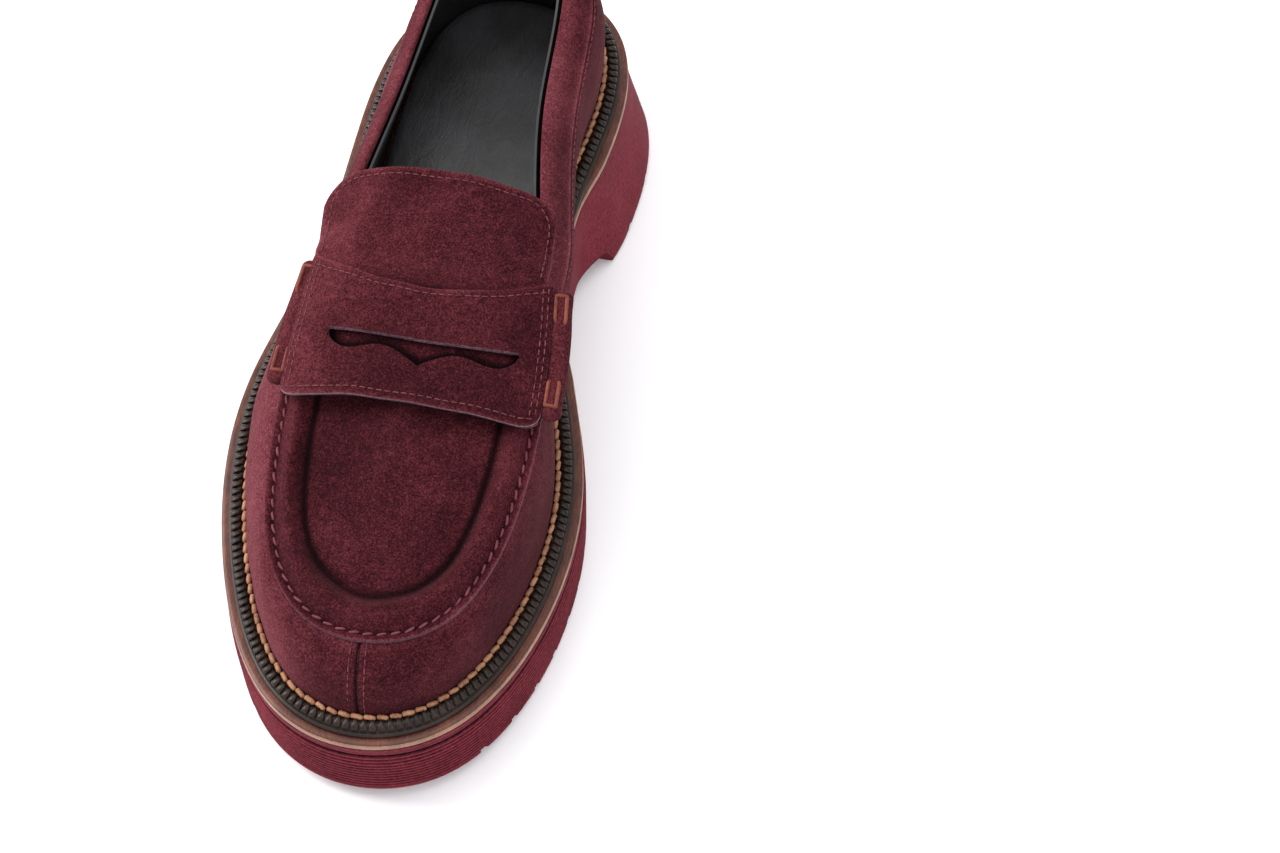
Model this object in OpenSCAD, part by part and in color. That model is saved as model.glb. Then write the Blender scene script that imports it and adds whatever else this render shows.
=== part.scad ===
// Penny loafer for a right foot, on a chunky welted sole.
// The toe points to -Y, the inner side of the foot to +X, and the sole stands on z = 0.

/* [Upper] */
// Length of the upper along its bottom edge
upper_l = 288; // [260:2:346]
// Width of the upper's bottom edge across the ball of the foot
ball_w = 103; // [86:1:124]
// Height of the topline at the heel above the deck of the sole
back_h = 76; // [63:1:92]
// Thickness of the suede
suede_t = 1.6; // [1.2:0.1:2]
// Thickness of the lining leather
lining_t = 0.8; // [0.6:0.1:1]
// Thickness of the toe and heel stiffeners
stiffener_t = 1; // [0.8:0.1:1.2]
// Width of the padded band along the topline
collar_w = 9; // [7:0.5:11]
// Thickness of the foam in the padded band
collar_foam_t = 1.8; // [1.4:0.1:2.2]
// Width of the strip over the back seam
backstay_w = 16; // [12:1:22]

/* [Apron] */
// Width of the raised ridge just inside the apron seam
ridge_w = 15; // [11:1:18]
// Height of the raised ridge
ridge_h = 4.5; // [2:0.5:5]
// Rise of the middle of the apron above its seam
crown_h = 10; // [6:1:12]

/* [Saddle] */
// Distance of the strap's front edge ahead of the middle of the shoe
strap_front = 61; // [50:1:72]
// Width of the strap from front to back at its ends, seen from above
strap_w = 48; // [40:1:54]
// How much narrower the strap is in the middle, where its back edge dips
strap_dip = 8; // [2:1:10]
// Thickness of the strap's backing
backing_t = 0.8; // [0.6:0.1:1]
// Radius of the rolled strap ends
roll_r = 4.2; // [3.4:0.2:5]
// Length of the slot across the strap
slot_l = 62; // [48:1:66]
// Depth of the slot at its middle point
slot_w = 8; // [6:0.5:10]

/* [Tongue] */
// Length of the tongue behind the strap, seen from above
tongue_l = 28; // [23:1:34]
// Width of the tongue
tongue_w = 77; // [64:1:80]
// Radius of the tongue's rear corners
tongue_r = 10; // [6:1:14]
// Rise of the tongue from its root to its free edge
tongue_rise = 9; // [6:0.5:11]

/* [Sole] */
// Height of the deck above the floor at the ball of the foot
sole_h = 30.5; // [26:0.5:38]
// How much higher the deck is at the heel
heel_lift = 13; // [9:1:16]
// How much the toe of the sole springs up
toe_spring = 6; // [4:1:8]
// Thickness of the midsole
midsole_t = 5.5; // [4:0.5:7]
// Width of the ledge outside the upper
ledge_w = 9.5; // [8:0.5:12]
// How far the heel block flares out at the floor
heel_flare = 3; // [0:0.5:4]
// Height of the arch under the waist, at the heel breast
arch_h = 9; // [6:1:12]
// Distance of the heel breast behind the middle of the shoe
breast_y = 66; // [56:1:78]

/* [Welt] */
// Height of the upstanding rib above the deck
rib_h = 4.6; // [3.6:0.2:5]
// Radius of the cord sewn between the upper and the rib
cord_r = 0.75; // [0.6:0.05:0.85]
// Radius of the thick seam thread
thread_r = 0.4; // [0.3:0.05:0.5]

/* [Hidden] */

suede_c = [0.36, 0.14, 0.18];
thread_c = [0.55, 0.3, 0.33];
lining_c = [0.12, 0.12, 0.13];
gap = 0.2;             // clearance between layers that lie on each other
eps = 0.01;            // step of the numeric tangents
kx = ball_w / 103;
ky = upper_l / 288;
kz = back_h / 76;
turns = 17;            // spline spans round the shoe
heel_t = 8.5;          // where the back seam is
throat_t = 4.3;        // where vamp and quarter meet, under the strap's ends
ring_n = 72;           // points round the sole

// Plan of the upper's bottom edge, from the toe round the inner side to the heel and back
feather_pts = [for (p = [[6, -149], [31, -139], [46, -106], [52, -59], [41, -20], [26, 19], [27, 62],
    [35, 105], [24, 143], [-24, 143], [-39, 106], [-38, 63], [-41, 22], [-54, -17], [-54, -59],
    [-40, -107], [-20, -141]]) [p.x * kx, p.y * ky]];
// Upper edge of the walls: the apron seam in front and the topline behind, z above the deck
rim_pts = [for (p = [[5, -135, 32], [30, -127, 33], [43, -101, 36], [47, -62, 44], [43, -22, 55],
    [34, 20, 66], [25, 62, 62], [25, 104, 62], [18, 139, 76], [-19, 139, 76], [-27, 104, 60],
    [-29, 62, 58], [-33, 20, 62], [-38, -22, 51], [-38, -63, 40], [-34, -102, 33], [-18, -128, 31.5]])
    [p.x * kx, p.y * ky, sole_h + p.z * kz]];

function unit(v) = v / norm(v);
function ease(a) = let (c = max(0, min(1, a))) c * c * (3 - 2 * c);
function mix(a, b, k) = a + (b - a) * k;

// Point on a closed cubic B-spline
function spline(pts, t) =
    let (n = len(pts), u = t - n * floor(t / n), i = floor(u), f = u - i)
    (pow(1 - f, 3) * pts[(i + n - 1) % n] + (3 * pow(f, 3) - 6 * f * f + 4) * pts[i % n]
    + (-3 * pow(f, 3) + 3 * f * f + 3 * f + 1) * pts[(i + 1) % n]
    + pow(f, 3) * pts[(i + 2) % n]) / 6;

// Level outward normal of such a curve
function outward(pts, t) =
    let (d = spline(pts, t + eps) - spline(pts, t - eps), l = norm([d.x, d.y]))
    [d.y / l, -d.x / l, 0];

// Height of the midsole's top, where everything above the sole starts
function deck(y) = sole_h + heel_lift * ease((y / ky + 20) / 95) + toe_spring * ease((-y / ky - 80) / 80);
function tread(y) = toe_spring * ease((-y / ky - 85) / 75);

// Point off the upper's bottom edge by a distance, at a height above the deck
function edge(t, off, up) =
    let (p = spline(feather_pts, t), n = outward(feather_pts, t), q = [p.x, p.y, 0] + n * off)
    [q.x, q.y, deck(p.y) + up];

// Outer face of the walls: a cubic curve from the bottom edge to the rim at each place
function wall_face(t, h) =
    let (
        foot = edge(t, 0, gap),
        top = spline(rim_pts, t),
        n = outward(feather_pts, t),
        rise = top.z - foot.z,
        inset = norm([foot.x - top.x, foot.y - top.y]),
        back = ease((foot.y / ky + 60) / 80),
        a = foot + n * 2 + [0, 0, rise * mix(0.55, 0.4, back)],
        b = top + n * mix(inset * 0.55, 3, back) - [0, 0, rise * mix(0.05, 0.35, back)]
    )
    pow(1 - h, 3) * foot + 3 * h * pow(1 - h, 2) * a + 3 * h * h * (1 - h) * b + pow(h, 3) * top;

// Point at a depth below that face
function wall(t, h, depth) =
    let (
        along = wall_face(t + eps, h) - wall_face(t - eps, h),
        up = wall_face(t, h + eps) - wall_face(t, h - eps)
    )
    wall_face(t, h) - depth * unit(cross(along, up));

// Rim parameter at a given y, on the inner side (side = 1) or the outer side (side = -1).
// The rim runs back all the way on both sides, so halving the interval finds the place.
function rim_at(y, side, lo = 0.8, hi = 8, n = 14) =
    let (m = (lo + hi) / 2)
    n == 0 ? side * m
    : spline(rim_pts, side * m).y < y ? rim_at(y, side, m, hi, n - 1) : rim_at(y, side, lo, m, n - 1);

// Closed solid skinned over rings with an even number of points, ring 0 first
module skin(rings, loop = false) {
    n = len(rings[0]);
    m = len(rings);
    sides = [for (i = [0 : m - (loop ? 1 : 2)], j = [0 : n - 1])
        let (a = i * n, b = ((i + 1) % m) * n, k = (j + 1) % n)
        each [[a + j, b + k, a + k], [a + j, b + j, b + k]]];
    first = [for (j = [0 : n / 2 - 2]) each [[j, j + 1, n - 2 - j], [j, n - 2 - j, n - 1 - j]]];
    last = [for (f = first) [for (i = [2 : -1 : 0]) f[i] + (m - 1) * n]];
    polyhedron([for (r = rings) each r], loop ? sides : concat(first, last, sides));
}

// Sheet between two depths of the wall, from t0 to t1 and from h0 to h1
module wall_sheet(t0, t1, h0, h1, d0, d1, nt, nh = 6) {
    skin([for (i = [0 : nt]) let (t = mix(t0, t1, i / nt)) concat(
        [for (j = [0 : nh]) wall(t, mix(h0, h1, j / nh), d1)],
        [for (j = [nh : -1 : 0]) wall(t, mix(h0, h1, j / nh), d0)])]);
}

// Slab over the whole sole between rings of [offset, height above the deck]
module sole_slab(levels) {
    skin([for (l = levels) [for (i = [0 : ring_n - 1]) edge((i + 0.5) * turns / ring_n, l[0], l[1])]]);
}

// Band that follows the upper's bottom edge, its section given clockwise as [offset, height]
module edge_band(section, n = ring_n) {
    skin([for (i = [0 : n - 1]) [for (s = section) edge(i * turns / n, s[0], s[1])]], loop = true);
}

// Round thread or roll along a path
module tube(path, r, sides = 6) {
    last = len(path) - 1;
    skin([for (i = [0 : last])
        let (
            d = unit(path[min(i + 1, last)] - path[max(i - 1, 0)]),
            s = unit(cross(d, [0, 0, 1])),
            u = cross(s, d)
        )
        [for (k = [0 : sides - 1]) path[i] + r * (cos(k * 360 / sides) * u + sin(k * 360 / sides) * s)]]);
}

// ---- sole ----

module outsole_block() {
    foot_off = ledge_w - 0.5;
    skin([for (k = [0 : 3]) [for (i = [0 : ring_n - 1])
        let (
            t = (i + 0.5) * turns / ring_n,
            y = spline(feather_pts, t).y,
            flare = heel_flare * ease((y / ky - 55) / 45),
            off = [foot_off - 1 + flare, foot_off + 0.5 + flare, foot_off + 1, ledge_w - 0.3][k],
            low = tread(y),
            high = deck(y) - midsole_t,
            p = edge(t, off, 0)
        )
        [p.x, p.y, mix(low, high, [0, 0.08, 0.7, 1][k])]]]);
}

module outsole() {
    far = ball_w;
    color([0.45, 0.14, 0.2])
    difference() {
        outsole_block();
        // The arch: steep at the heel breast, then falling slowly towards the ball
        translate([-far, 0, 0]) rotate([90, 0, 90]) linear_extrude(2 * far)
            polygon([[breast_y + 1, -1], [breast_y - 2, arch_h], [breast_y - 22, arch_h * 0.8],
                [breast_y - 58, 0], [breast_y - 60, -1]]);
    }
}

module midsole() {
    color([0.42, 0.26, 0.19])
    sole_slab([[ledge_w - 0.3, -midsole_t], [ledge_w, -midsole_t + 0.5],
        [ledge_w, -0.4], [ledge_w - 0.4, 0]]);
}

rib_in = 2.2;                    // inner side of the welt's rib, off the upper
rib_out = rib_in + 3.2;
welt_t = 1.7;                    // thickness of the welt's flat strip
cord_up = rib_h - 1.2;           // height of the cord's centre

module storm_welt() {
    color([0.2, 0.16, 0.13])
    edge_band([[0.3, 0.1], [0.3, cord_up - cord_r - gap], [rib_in - 0.2, cord_up - cord_r - gap],
        [rib_in + 0.3, rib_h], [rib_out - 0.5, rib_h - 0.4], [rib_out, welt_t + 0.3], [rib_out + 1.4, welt_t],
        [rib_out + 1.4, 0.1]]);
}

module welt_cord() {
    mid = rib_in - cord_r - gap;
    color([0.72, 0.55, 0.36])
    edge_band([for (k = [0 : 5]) [mid + cord_r * sin(k * 60), cord_up + cord_r * cos(k * 60)]]);
}

// ---- inside the sole ----

inner_off = -(suede_t + stiffener_t + lining_t + 4 * gap + 2);   // clear of the walls' foot
filler_t = 2.5;
board_t = 2.2;
foam_t = 2.2;
sock_t = 1;
shank_l = 96;
shank_w = 12;
shank_mid = 40;                  // the shank's middle behind the shoe's middle

board_up = filler_t + 2 * gap;
foam_up = board_up + board_t + gap;
sock_up = foam_up + foam_t + gap;

shank_x = -6 * kx;               // the waist's middle lies a little to the outer side
shank_t = 1.6;

// Steel strip that follows the deck through the waist
module shank() {
    n = 12;
    half = shank_w / 2;
    color("silver")
    skin([for (i = [0 : n])
        let (y = shank_mid + shank_l * (i / n - 0.5), low = deck(y) + gap)
        [[shank_x + half, y, low], [shank_x + half, y, low + shank_t],
        [shank_x - half, y, low + shank_t], [shank_x - half, y, low]]]);
}

module bottom_filler() {
    color([0.72, 0.55, 0.38])
    difference() {
        sole_slab([[inner_off - 3, gap], [inner_off - 3, filler_t]]);
        translate([shank_x - shank_w / 2 - gap, shank_mid - shank_l / 2 - gap, 0])
            cube([shank_w + 2 * gap, shank_l + 2 * gap, deck(upper_l) + filler_t + 1]);
    }
}

module insole_rib() {
    color([0.85, 0.8, 0.7])
    edge_band([[inner_off - 2.2, gap], [inner_off - 2.2, filler_t], [inner_off - 0.6, filler_t],
        [inner_off - 0.6, gap]]);
}

module insole_board() {
    color([0.75, 0.6, 0.45])
    sole_slab([[inner_off, board_up], [inner_off, board_up + board_t]]);
}

module footbed_foam() {
    color([0.3, 0.3, 0.32])
    sole_slab([[inner_off - 0.4, foam_up], [inner_off - 0.4, foam_up + foam_t]]);
}

module sock_lining() {
    color([0.11, 0.11, 0.12])
    sole_slab([[inner_off - 0.2, sock_up], [inner_off - 0.2, sock_up + sock_t]]);
}

// ---- walls ----

seam_gap = 0.02;                 // half gap between panels, in spline spans
stiff_d = suede_t + gap;         // depth of the stiffeners
lining_d = stiff_d + stiffener_t + gap;
quarter_top = 1 - collar_w / (back_h * 0.8);

module vamp_medial() {
    color(suede_c) wall_sheet(seam_gap, throat_t - seam_gap, 0, 1, 0, suede_t, 18);
}

module vamp_lateral() {
    color(suede_c) wall_sheet(seam_gap - throat_t, -seam_gap, 0, 1, 0, suede_t, 18);
}

module quarter_medial() {
    color(suede_c) wall_sheet(throat_t + seam_gap, heel_t - seam_gap, 0, quarter_top, 0, suede_t, 20);
}

module quarter_lateral() {
    color(suede_c) wall_sheet(heel_t + seam_gap, turns - throat_t - seam_gap, 0, quarter_top, 0, suede_t, 20);
}

module backstay() {
    // One spline span near the heel is about 48 mm long
    half = backstay_w / (96 * kx);
    color(suede_c)
    wall_sheet(heel_t - half, heel_t + half, 0.1, quarter_top - 0.03, -suede_t - gap, -gap, 6, 5);
}

module toe_puff() {
    color([0.8, 0.78, 0.7]) wall_sheet(-1.7, 1.7, 0.05, 0.9, stiff_d, stiff_d + stiffener_t, 16, 4);
}

module heel_counter() {
    color([0.8, 0.78, 0.7]) wall_sheet(6.6, turns - 6.6, 0.04, 0.62, stiff_d, stiff_d + stiffener_t, 18, 4);
}

module vamp_lining() {
    color(lining_c)
    wall_sheet(seam_gap - throat_t, throat_t - seam_gap, 0.03, 0.95, lining_d, lining_d + lining_t, 36, 4);
}

module quarter_lining() {
    color(lining_c)
    wall_sheet(throat_t + seam_gap, turns - throat_t - seam_gap, 0.03, quarter_top,
        lining_d, lining_d + lining_t, 40, 4);
}

// Padded band: a folded strip over the topline, with foam in its fold
collar_t0 = throat_t + 0.04;
collar_n = 44;
fold_t = 0.9;                    // thickness of the folded suede
fold_in = collar_foam_t + 2 * gap + 2 * fold_t;

// Section of the fold: out is the depth from the wall's outer face, down the drop below the rim
module topline_band(section) {
    skin([for (i = [0 : collar_n])
        let (
            t = mix(collar_t0, turns - collar_t0, i / collar_n),
            top = wall(t, 1, 0),
            low = wall(t, quarter_top + 0.02, 0),
            down = (low - top) / norm(low - top),
            along = unit(wall_face(t + eps, 1) - wall_face(t - eps, 1)),
            inward = unit(cross(along, down))
        )
        [for (s = section) top + inward * s[0] + down * s[1] * norm(low - top)]]);
}

module topline_collar() {
    color(suede_c)
    topline_band([[fold_in - fold_t, 1], [fold_in, 1], [fold_in, 0.12], [fold_in * 0.8, 0],
        [fold_in * 0.2, 0], [0, 0.12], [0, 1], [fold_t, 1], [fold_t, 0.2], [fold_in - fold_t, 0.2]]);
}

module collar_foam() {
    in = fold_t + gap;
    out = fold_in - fold_t - gap;
    color([0.9, 0.88, 0.8]) topline_band([[out, 0.95], [out, 0.24], [in, 0.24], [in, 0.95]]);
}

// ---- apron ----

apron_t = 4.2;                   // where the apron's sides end, under the strap
spine_front = ridge_w + 3;       // the apron's centre line starts this far behind its front seam

function ridge(d) = d > ridge_w ? 0 : ridge_h * pow(sin(180 * d / ridge_w), 0.8);

// Underside of the apron: t along the rim, s from the seam (0) to the centre line (1)
function apron_face(t, s, grow) =
    let (
        seam = spline(rim_pts, t) + outward(rim_pts, t) * grow,
        front = spline(rim_pts, 0).y,
        y1 = spline(rim_pts, apron_t).y - 14,
        y0 = front + spine_front,
        k = (seam.y - front) / (spline(rim_pts, apron_t).y - front),
        mid_z = (spline(rim_pts, abs(t)).z + spline(rim_pts, -abs(t)).z) / 2,
        spine = [mix(2, 5, k) * kx, mix(y0, y1, k), mid_z + crown_h * ease(k * 2.2)],
        p = mix(seam, spine, s),
        d = s * norm([spine.x - seam.x, spine.y - seam.y]),
        fade = 1 - 0.3 * ease((abs(t) - 2.6) / 0.8)
    )
    [p.x, p.y, mix(seam.z, spine.z, ease(s * 0.62) / ease(0.62)) + ridge(d) * fade + 0.3];

// Shell between two heights over that face, from the step first inwards
module apron_shell(first, low, high) {
    n = 56;
    steps = [for (s = [0, 0.08, 0.17, 0.26, 0.36, 0.46, 0.7, 0.93]) if (s >= first) s];
    last = len(steps) - 1;
    half = [for (i = [0 : n / 2 - 1]) (i + 0.5) * apron_t / (n / 2 - 0.5)];
    ts = concat(half, [for (i = [n / 2 - 1 : -1 : 0]) -half[i]]);
    function loop_at(s, up) = [for (t = ts) apron_face(t, s, 1) + [0, 0, up]];
    skin(concat([for (i = [last : -1 : 0]) loop_at(steps[i], low)], [for (s = steps) loop_at(s, high)]));
}

module apron() {
    color(suede_c) apron_shell(0, 0, suede_t);
}

module apron_lining() {
    color(lining_c) apron_shell(0.05, -2 * gap - lining_t, -2 * gap);
}

// ---- saddle ----

strap_over = 7.6 + suede_t;      // the strap's top above the seam at its ends
strap_hump = 17;                 // and at its middle
roll_gap = 0.12;                 // the rolls start this share of the strap's width behind its front
roll_out = 1.6;                  // and lie this far outside the seam

// Top of the strap: u from the outer end (-1) to the inner end (1), v from front to back
function strap_end(side, v) = rim_at(-strap_front + strap_w * v, side);
function strap_face(u, v, up) =
    let (
        a = spline(rim_pts, strap_end(-1, v)),
        b = spline(rim_pts, strap_end(1, v)),
        inset = mix(-0.5, roll_r + gap + 0.2 - roll_out, ease(2 * v / roll_gap - 1)),
        p = mix([a.x + inset, a.y, a.z], [b.x - inset, b.y, b.z], (u + 1) / 2),
        mid_z = (a.z + b.z) / 2 + strap_hump
    )
    [p.x, p.y - strap_dip * v * (1 - u * u), mix(mid_z, p.z + strap_over, pow(abs(u), 2.6)) + up];

module strap_sheet(low, high, u1 = 1, v0 = 0, v1 = 1) {
    nu = 20;
    nv = 8;
    skin([for (i = [0 : nv]) let (v = mix(v0, v1, i / nv)) concat(
        [for (j = [nu : -1 : 0]) strap_face(mix(-u1, u1, j / nu), v, high)],
        [for (j = [0 : nu]) strap_face(mix(-u1, u1, j / nu), v, low)])]);
}

// Depth of the slot along its half length a: a point in the middle, a hump, then a round lobe
function slot_depth(a) =
    a < 0.42 ? slot_w * mix(1, 0.44, ease(0.5 + a / 0.84) * 2 - 1)
    : a < 0.78 ? slot_w * mix(0.44, 0.72, ease((a - 0.42) / 0.36))
    : slot_w * 0.72 * sqrt(max(0, 1 - pow((a - 0.78) / 0.22, 2)));

slot_x = 2;                      // the slot lies a little to the inner side
slot_v = 0.5;

module strap_slot() {
    n = 20;
    half = (strap_face(1, slot_v, 0).x - strap_face(-1, slot_v, 0).x) / 2;
    function edge_point(a, depth) =
        let (p = strap_face((a * slot_l / 2 + slot_x) / half, slot_v, 0)) [p.x, p.y - depth];
    linear_extrude(back_h * 3)
        polygon(concat([for (i = [n : -1 : -n]) edge_point(i / n, 0)],
            [for (i = [1 - n : n - 1]) edge_point(i / n, slot_depth(abs(i / n)))]));
}

module saddle_strap() {
    color(suede_c)
    difference() {
        strap_sheet(-suede_t, 0);
        strap_slot();
    }
}

module saddle_backing() {
    low = -suede_t - gap - backing_t;
    color([0.4, 0.32, 0.3]) strap_sheet(low, low + backing_t, 0.985, -0.01, 0.98);
}

function roll_axis(side, v) =
    let (t = strap_end(side, v))
    spline(rim_pts, t) + outward(rim_pts, t) * roll_out + [0, 0, suede_t + 3 * gap + roll_r + 0.8];

module strap_roll(side) {
    n = 10;
    color(suede_c) tube([for (i = [0 : n]) roll_axis(side, mix(roll_gap, 0.97, i / n))], roll_r, 12);
}

module roll_medial() {
    strap_roll(1);
}

module roll_lateral() {
    strap_roll(-1);
}

// Thick thread laid across each end of a roll
module tack(side, v) {
    r = roll_r + thread_r * 2 + 0.1;
    color([0.66, 0.32, 0.2])
    tube([for (a = [-60 : 15 : 60]) roll_axis(side, v) + r * [sin(a), 0, cos(a)]], thread_r * 2);
}

module saddle_tacks() {
    for (side = [-1, 1], v = [roll_gap + 0.08, 0.9]) tack(side, v);
}

// ---- tongue ----

tongue_gap = 1.2;                // behind the strap's back edge
hinge_z = strap_face(0, 1, 0).z - 3;
hinge_y = strap_face(1, 1, 0).y + tongue_gap;

// Top of the tongue: u across, w from the root to the free edge
function tongue_face(u, w, up) =
    let (
        half = tongue_w / 2,
        corner = max(0, abs(u) * half - (half - tongue_r)),
        cut = tongue_r - sqrt(max(0, tongue_r * tongue_r - corner * corner)),
        y = hinge_y + (tongue_l - cut) * w,
        a = spline(rim_pts, rim_at(hinge_y + tongue_l * w, -1)),
        b = spline(rim_pts, rim_at(hinge_y + tongue_l * w, 1)),
        side_z = mix(a.z, b.z, (u + 1) / 2) + suede_t + lining_t + ridge_h * (1.2 - w),
        mid_z = hinge_z + tongue_rise * w
    )
    [(a.x + b.x) / 2 + u * half, y, mix(mid_z, min(side_z, mid_z), pow(abs(u), 2.4)) + up];

module tongue_sheet(low, high, u1 = 1, w0 = 0, w1 = 1) {
    nu = 20;
    nw = 8;
    skin([for (i = [0 : nw]) let (w = mix(w0, w1, i / nw)) concat(
        [for (j = [nu : -1 : 0]) tongue_face(mix(-u1, u1, j / nu), w, high)],
        [for (j = [0 : nu]) tongue_face(mix(-u1, u1, j / nu), w, low)])]);
}

module tongue() {
    color(suede_c) tongue_sheet(-suede_t, 0);
}

module tongue_lining() {
    top = -suede_t - gap;
    color(lining_c) tongue_sheet(top - lining_t, top, 0.97, 0, 0.97);
}

// ---- threads ----

thread_up = thread_r * 0.5 + 0.25;

// Thread just inside the apron's seam edge
module apron_stitching() {
    n = 60;
    color(thread_c)
    tube([for (i = [0 : n]) let (t = mix(-3.1, 3.1, i / n))
        apron_face(t, 0.04, 1) + [0, 0, suede_t + thread_up + 0.2]], thread_r);
}

module toe_seam_stitching() {
    n = 10;
    color(thread_c)
    for (side = [-1, 1])
        tube([for (i = [0 : n]) wall(side * 0.1, mix(0.12, 0.9, i / n), -thread_up - 0.1)], thread_r * 0.6);
}

module saddle_stitching() {
    n = 24;
    fine = thread_r * 0.6;
    color(thread_c) {
        for (v = [0.06, 0.94])
            tube([for (i = [0 : n]) strap_face(mix(-0.9, 0.9, i / n), v, thread_up + 0.1)], fine);
        for (side = [-1, 1], u = [0.93, 0.97])
            tube([for (i = [0 : 8]) strap_face(side * u, mix(0.1, 0.9, i / 8), thread_up + 0.1)], fine);
    }
}

module tongue_stitching() {
    n = 24;
    fine = thread_r * 0.6;
    color(thread_c) {
        tube([for (i = [0 : n]) tongue_face(mix(-0.9, 0.9, i / n), 0.93, thread_up + 0.1)], fine);
        for (side = [-1, 1])
            tube([for (i = [0 : 8]) tongue_face(side * 0.94, mix(0.08, 0.88, i / 8), thread_up + 0.1)], fine);
    }
}

module collar_stitching() {
    n = 60;
    color(thread_c)
    tube([for (i = [0 : n]) wall(mix(collar_t0 + 0.1, turns - collar_t0 - 0.1, i / n), quarter_top - 0.015,
        -thread_up - 0.1)], thread_r * 0.6);
}

outsole();
midsole();
storm_welt();
welt_cord();
shank();
bottom_filler();
insole_rib();
insole_board();
footbed_foam();
sock_lining();
vamp_medial();
vamp_lateral();
quarter_medial();
quarter_lateral();
backstay();
toe_puff();
heel_counter();
vamp_lining();
quarter_lining();
topline_collar();
collar_foam();
apron();
apron_lining();
saddle_strap();
saddle_backing();
roll_medial();
roll_lateral();
saddle_tacks();
tongue();
tongue_lining();
apron_stitching();
toe_seam_stitching();
saddle_stitching();
tongue_stitching();
collar_stitching();
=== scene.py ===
import math

import bmesh
import bpy
import numpy as np
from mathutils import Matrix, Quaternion, Vector


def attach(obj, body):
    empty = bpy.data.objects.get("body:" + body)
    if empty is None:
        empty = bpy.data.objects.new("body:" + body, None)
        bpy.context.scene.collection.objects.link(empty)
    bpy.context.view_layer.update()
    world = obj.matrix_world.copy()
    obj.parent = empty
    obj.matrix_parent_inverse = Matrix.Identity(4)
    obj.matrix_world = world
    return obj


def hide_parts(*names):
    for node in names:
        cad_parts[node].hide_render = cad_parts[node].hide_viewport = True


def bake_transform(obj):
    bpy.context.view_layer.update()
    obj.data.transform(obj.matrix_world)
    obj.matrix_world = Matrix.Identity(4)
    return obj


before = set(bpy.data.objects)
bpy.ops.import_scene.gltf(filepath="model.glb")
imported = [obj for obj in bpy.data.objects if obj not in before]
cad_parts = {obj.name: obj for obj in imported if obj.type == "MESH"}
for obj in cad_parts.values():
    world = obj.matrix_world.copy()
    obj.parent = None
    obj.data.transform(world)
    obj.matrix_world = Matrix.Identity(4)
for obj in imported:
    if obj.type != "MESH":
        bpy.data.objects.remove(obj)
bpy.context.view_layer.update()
print("frame loaded:", len(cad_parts), "nodes")

mm = 0.001   # the shape sizes below are millimetres, and meshes are made in metres

shoe = {
    "suede": 1.6,             # thickness of the suede
    "lining": 0.8,            # thickness of the lining leather
    "stiffener": 1.0,         # thickness of the toe and heel stiffeners
    "gap": 0.2,               # clearance between layers
    "backHeight": 76,         # topline above the deck at the heel
    "collarWidth": 9,         # width of the padded band
    "collarFoam": 1.8,
    "deckHeight": 30.5,       # top of the midsole at the ball of the foot
    "heelLift": 13,
    "toeSpring": 6,
    "midsole": 5.5,           # thickness of the midsole
    "ledge": 9.5,             # midsole outside the upper
    "throat": 4.3,            # where vamp and quarter meet, in spline spans
    "heelSeam": 8.5,          # where the back seam is, in spline spans
}
featherPoints = np.array([
    (6, -149), (31, -139), (46, -106), (52, -59), (41, -20), (26, 19), (27, 62), (35, 105), (24, 143),
    (-24, 143), (-39, 106), (-38, 63), (-41, 22), (-54, -17), (-54, -59), (-40, -107), (-20, -141)], float)
rimPoints = np.array([
    (5, -135, 32), (30, -127, 33), (43, -101, 36), (47, -62, 44), (43, -22, 55), (34, 20, 66),
    (25, 62, 62), (25, 104, 62), (18, 139, 76), (-19, 139, 76), (-27, 104, 60), (-29, 62, 58),
    (-33, 20, 62), (-38, -22, 51), (-38, -63, 40), (-34, -102, 33), (-18, -128, 31.5)], float)
rimPoints[:, 2] += shoe["deckHeight"]
turns = len(featherPoints)
tiny = 0.01                   # step for slopes, in spline spans
outlineSteps = 560            # points round the outsole and the midsole
backstayHalf = 16 / 96        # half the backstay's width, in spline spans
stitchLift = 0.05             # fine threads above the surface
upAxis = np.array([0.0, 0.0, 1.0])


def ease(a):
    c = np.clip(a, 0, 1)
    return c * c * (3 - 2 * c)


def mix(a, b, k):
    return a + (b - a) * k


def unit(v):
    return v / np.linalg.norm(v, axis=-1, keepdims=True)


def spline(points, t):
    n = len(points)
    t = np.asarray(t, float) % n
    i = np.floor(t).astype(int)
    f = (t - i)[..., None]
    return ((1 - f) ** 3 * points[(i - 1) % n] + (3 * f ** 3 - 6 * f ** 2 + 4) * points[i % n]
            + (-3 * f ** 3 + 3 * f ** 2 + 3 * f + 1) * points[(i + 1) % n]
            + f ** 3 * points[(i + 2) % n]) / 6


def outward(points, t):
    t = np.asarray(t, float)
    d = spline(points, t + tiny) - spline(points, t - tiny)
    return unit(np.stack([d[..., 1], -d[..., 0], 0 * d[..., 0]], -1))


def deck(y):
    return (shoe["deckHeight"] + shoe["heelLift"] * ease((y + 20) / 95)
            + shoe["toeSpring"] * ease((-y - 80) / 80))


def tread(y):
    return shoe["toeSpring"] * ease((-y - 85) / 75)


# Point off the upper's bottom edge by a distance, at a height above the deck
def edgeAt(t, off, up):
    p = spline(featherPoints, t)
    q = p + outward(featherPoints, t)[..., :2] * np.asarray(off)[..., None]
    return np.stack([q[..., 0], q[..., 1], deck(p[..., 1]) + up], -1)


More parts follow.
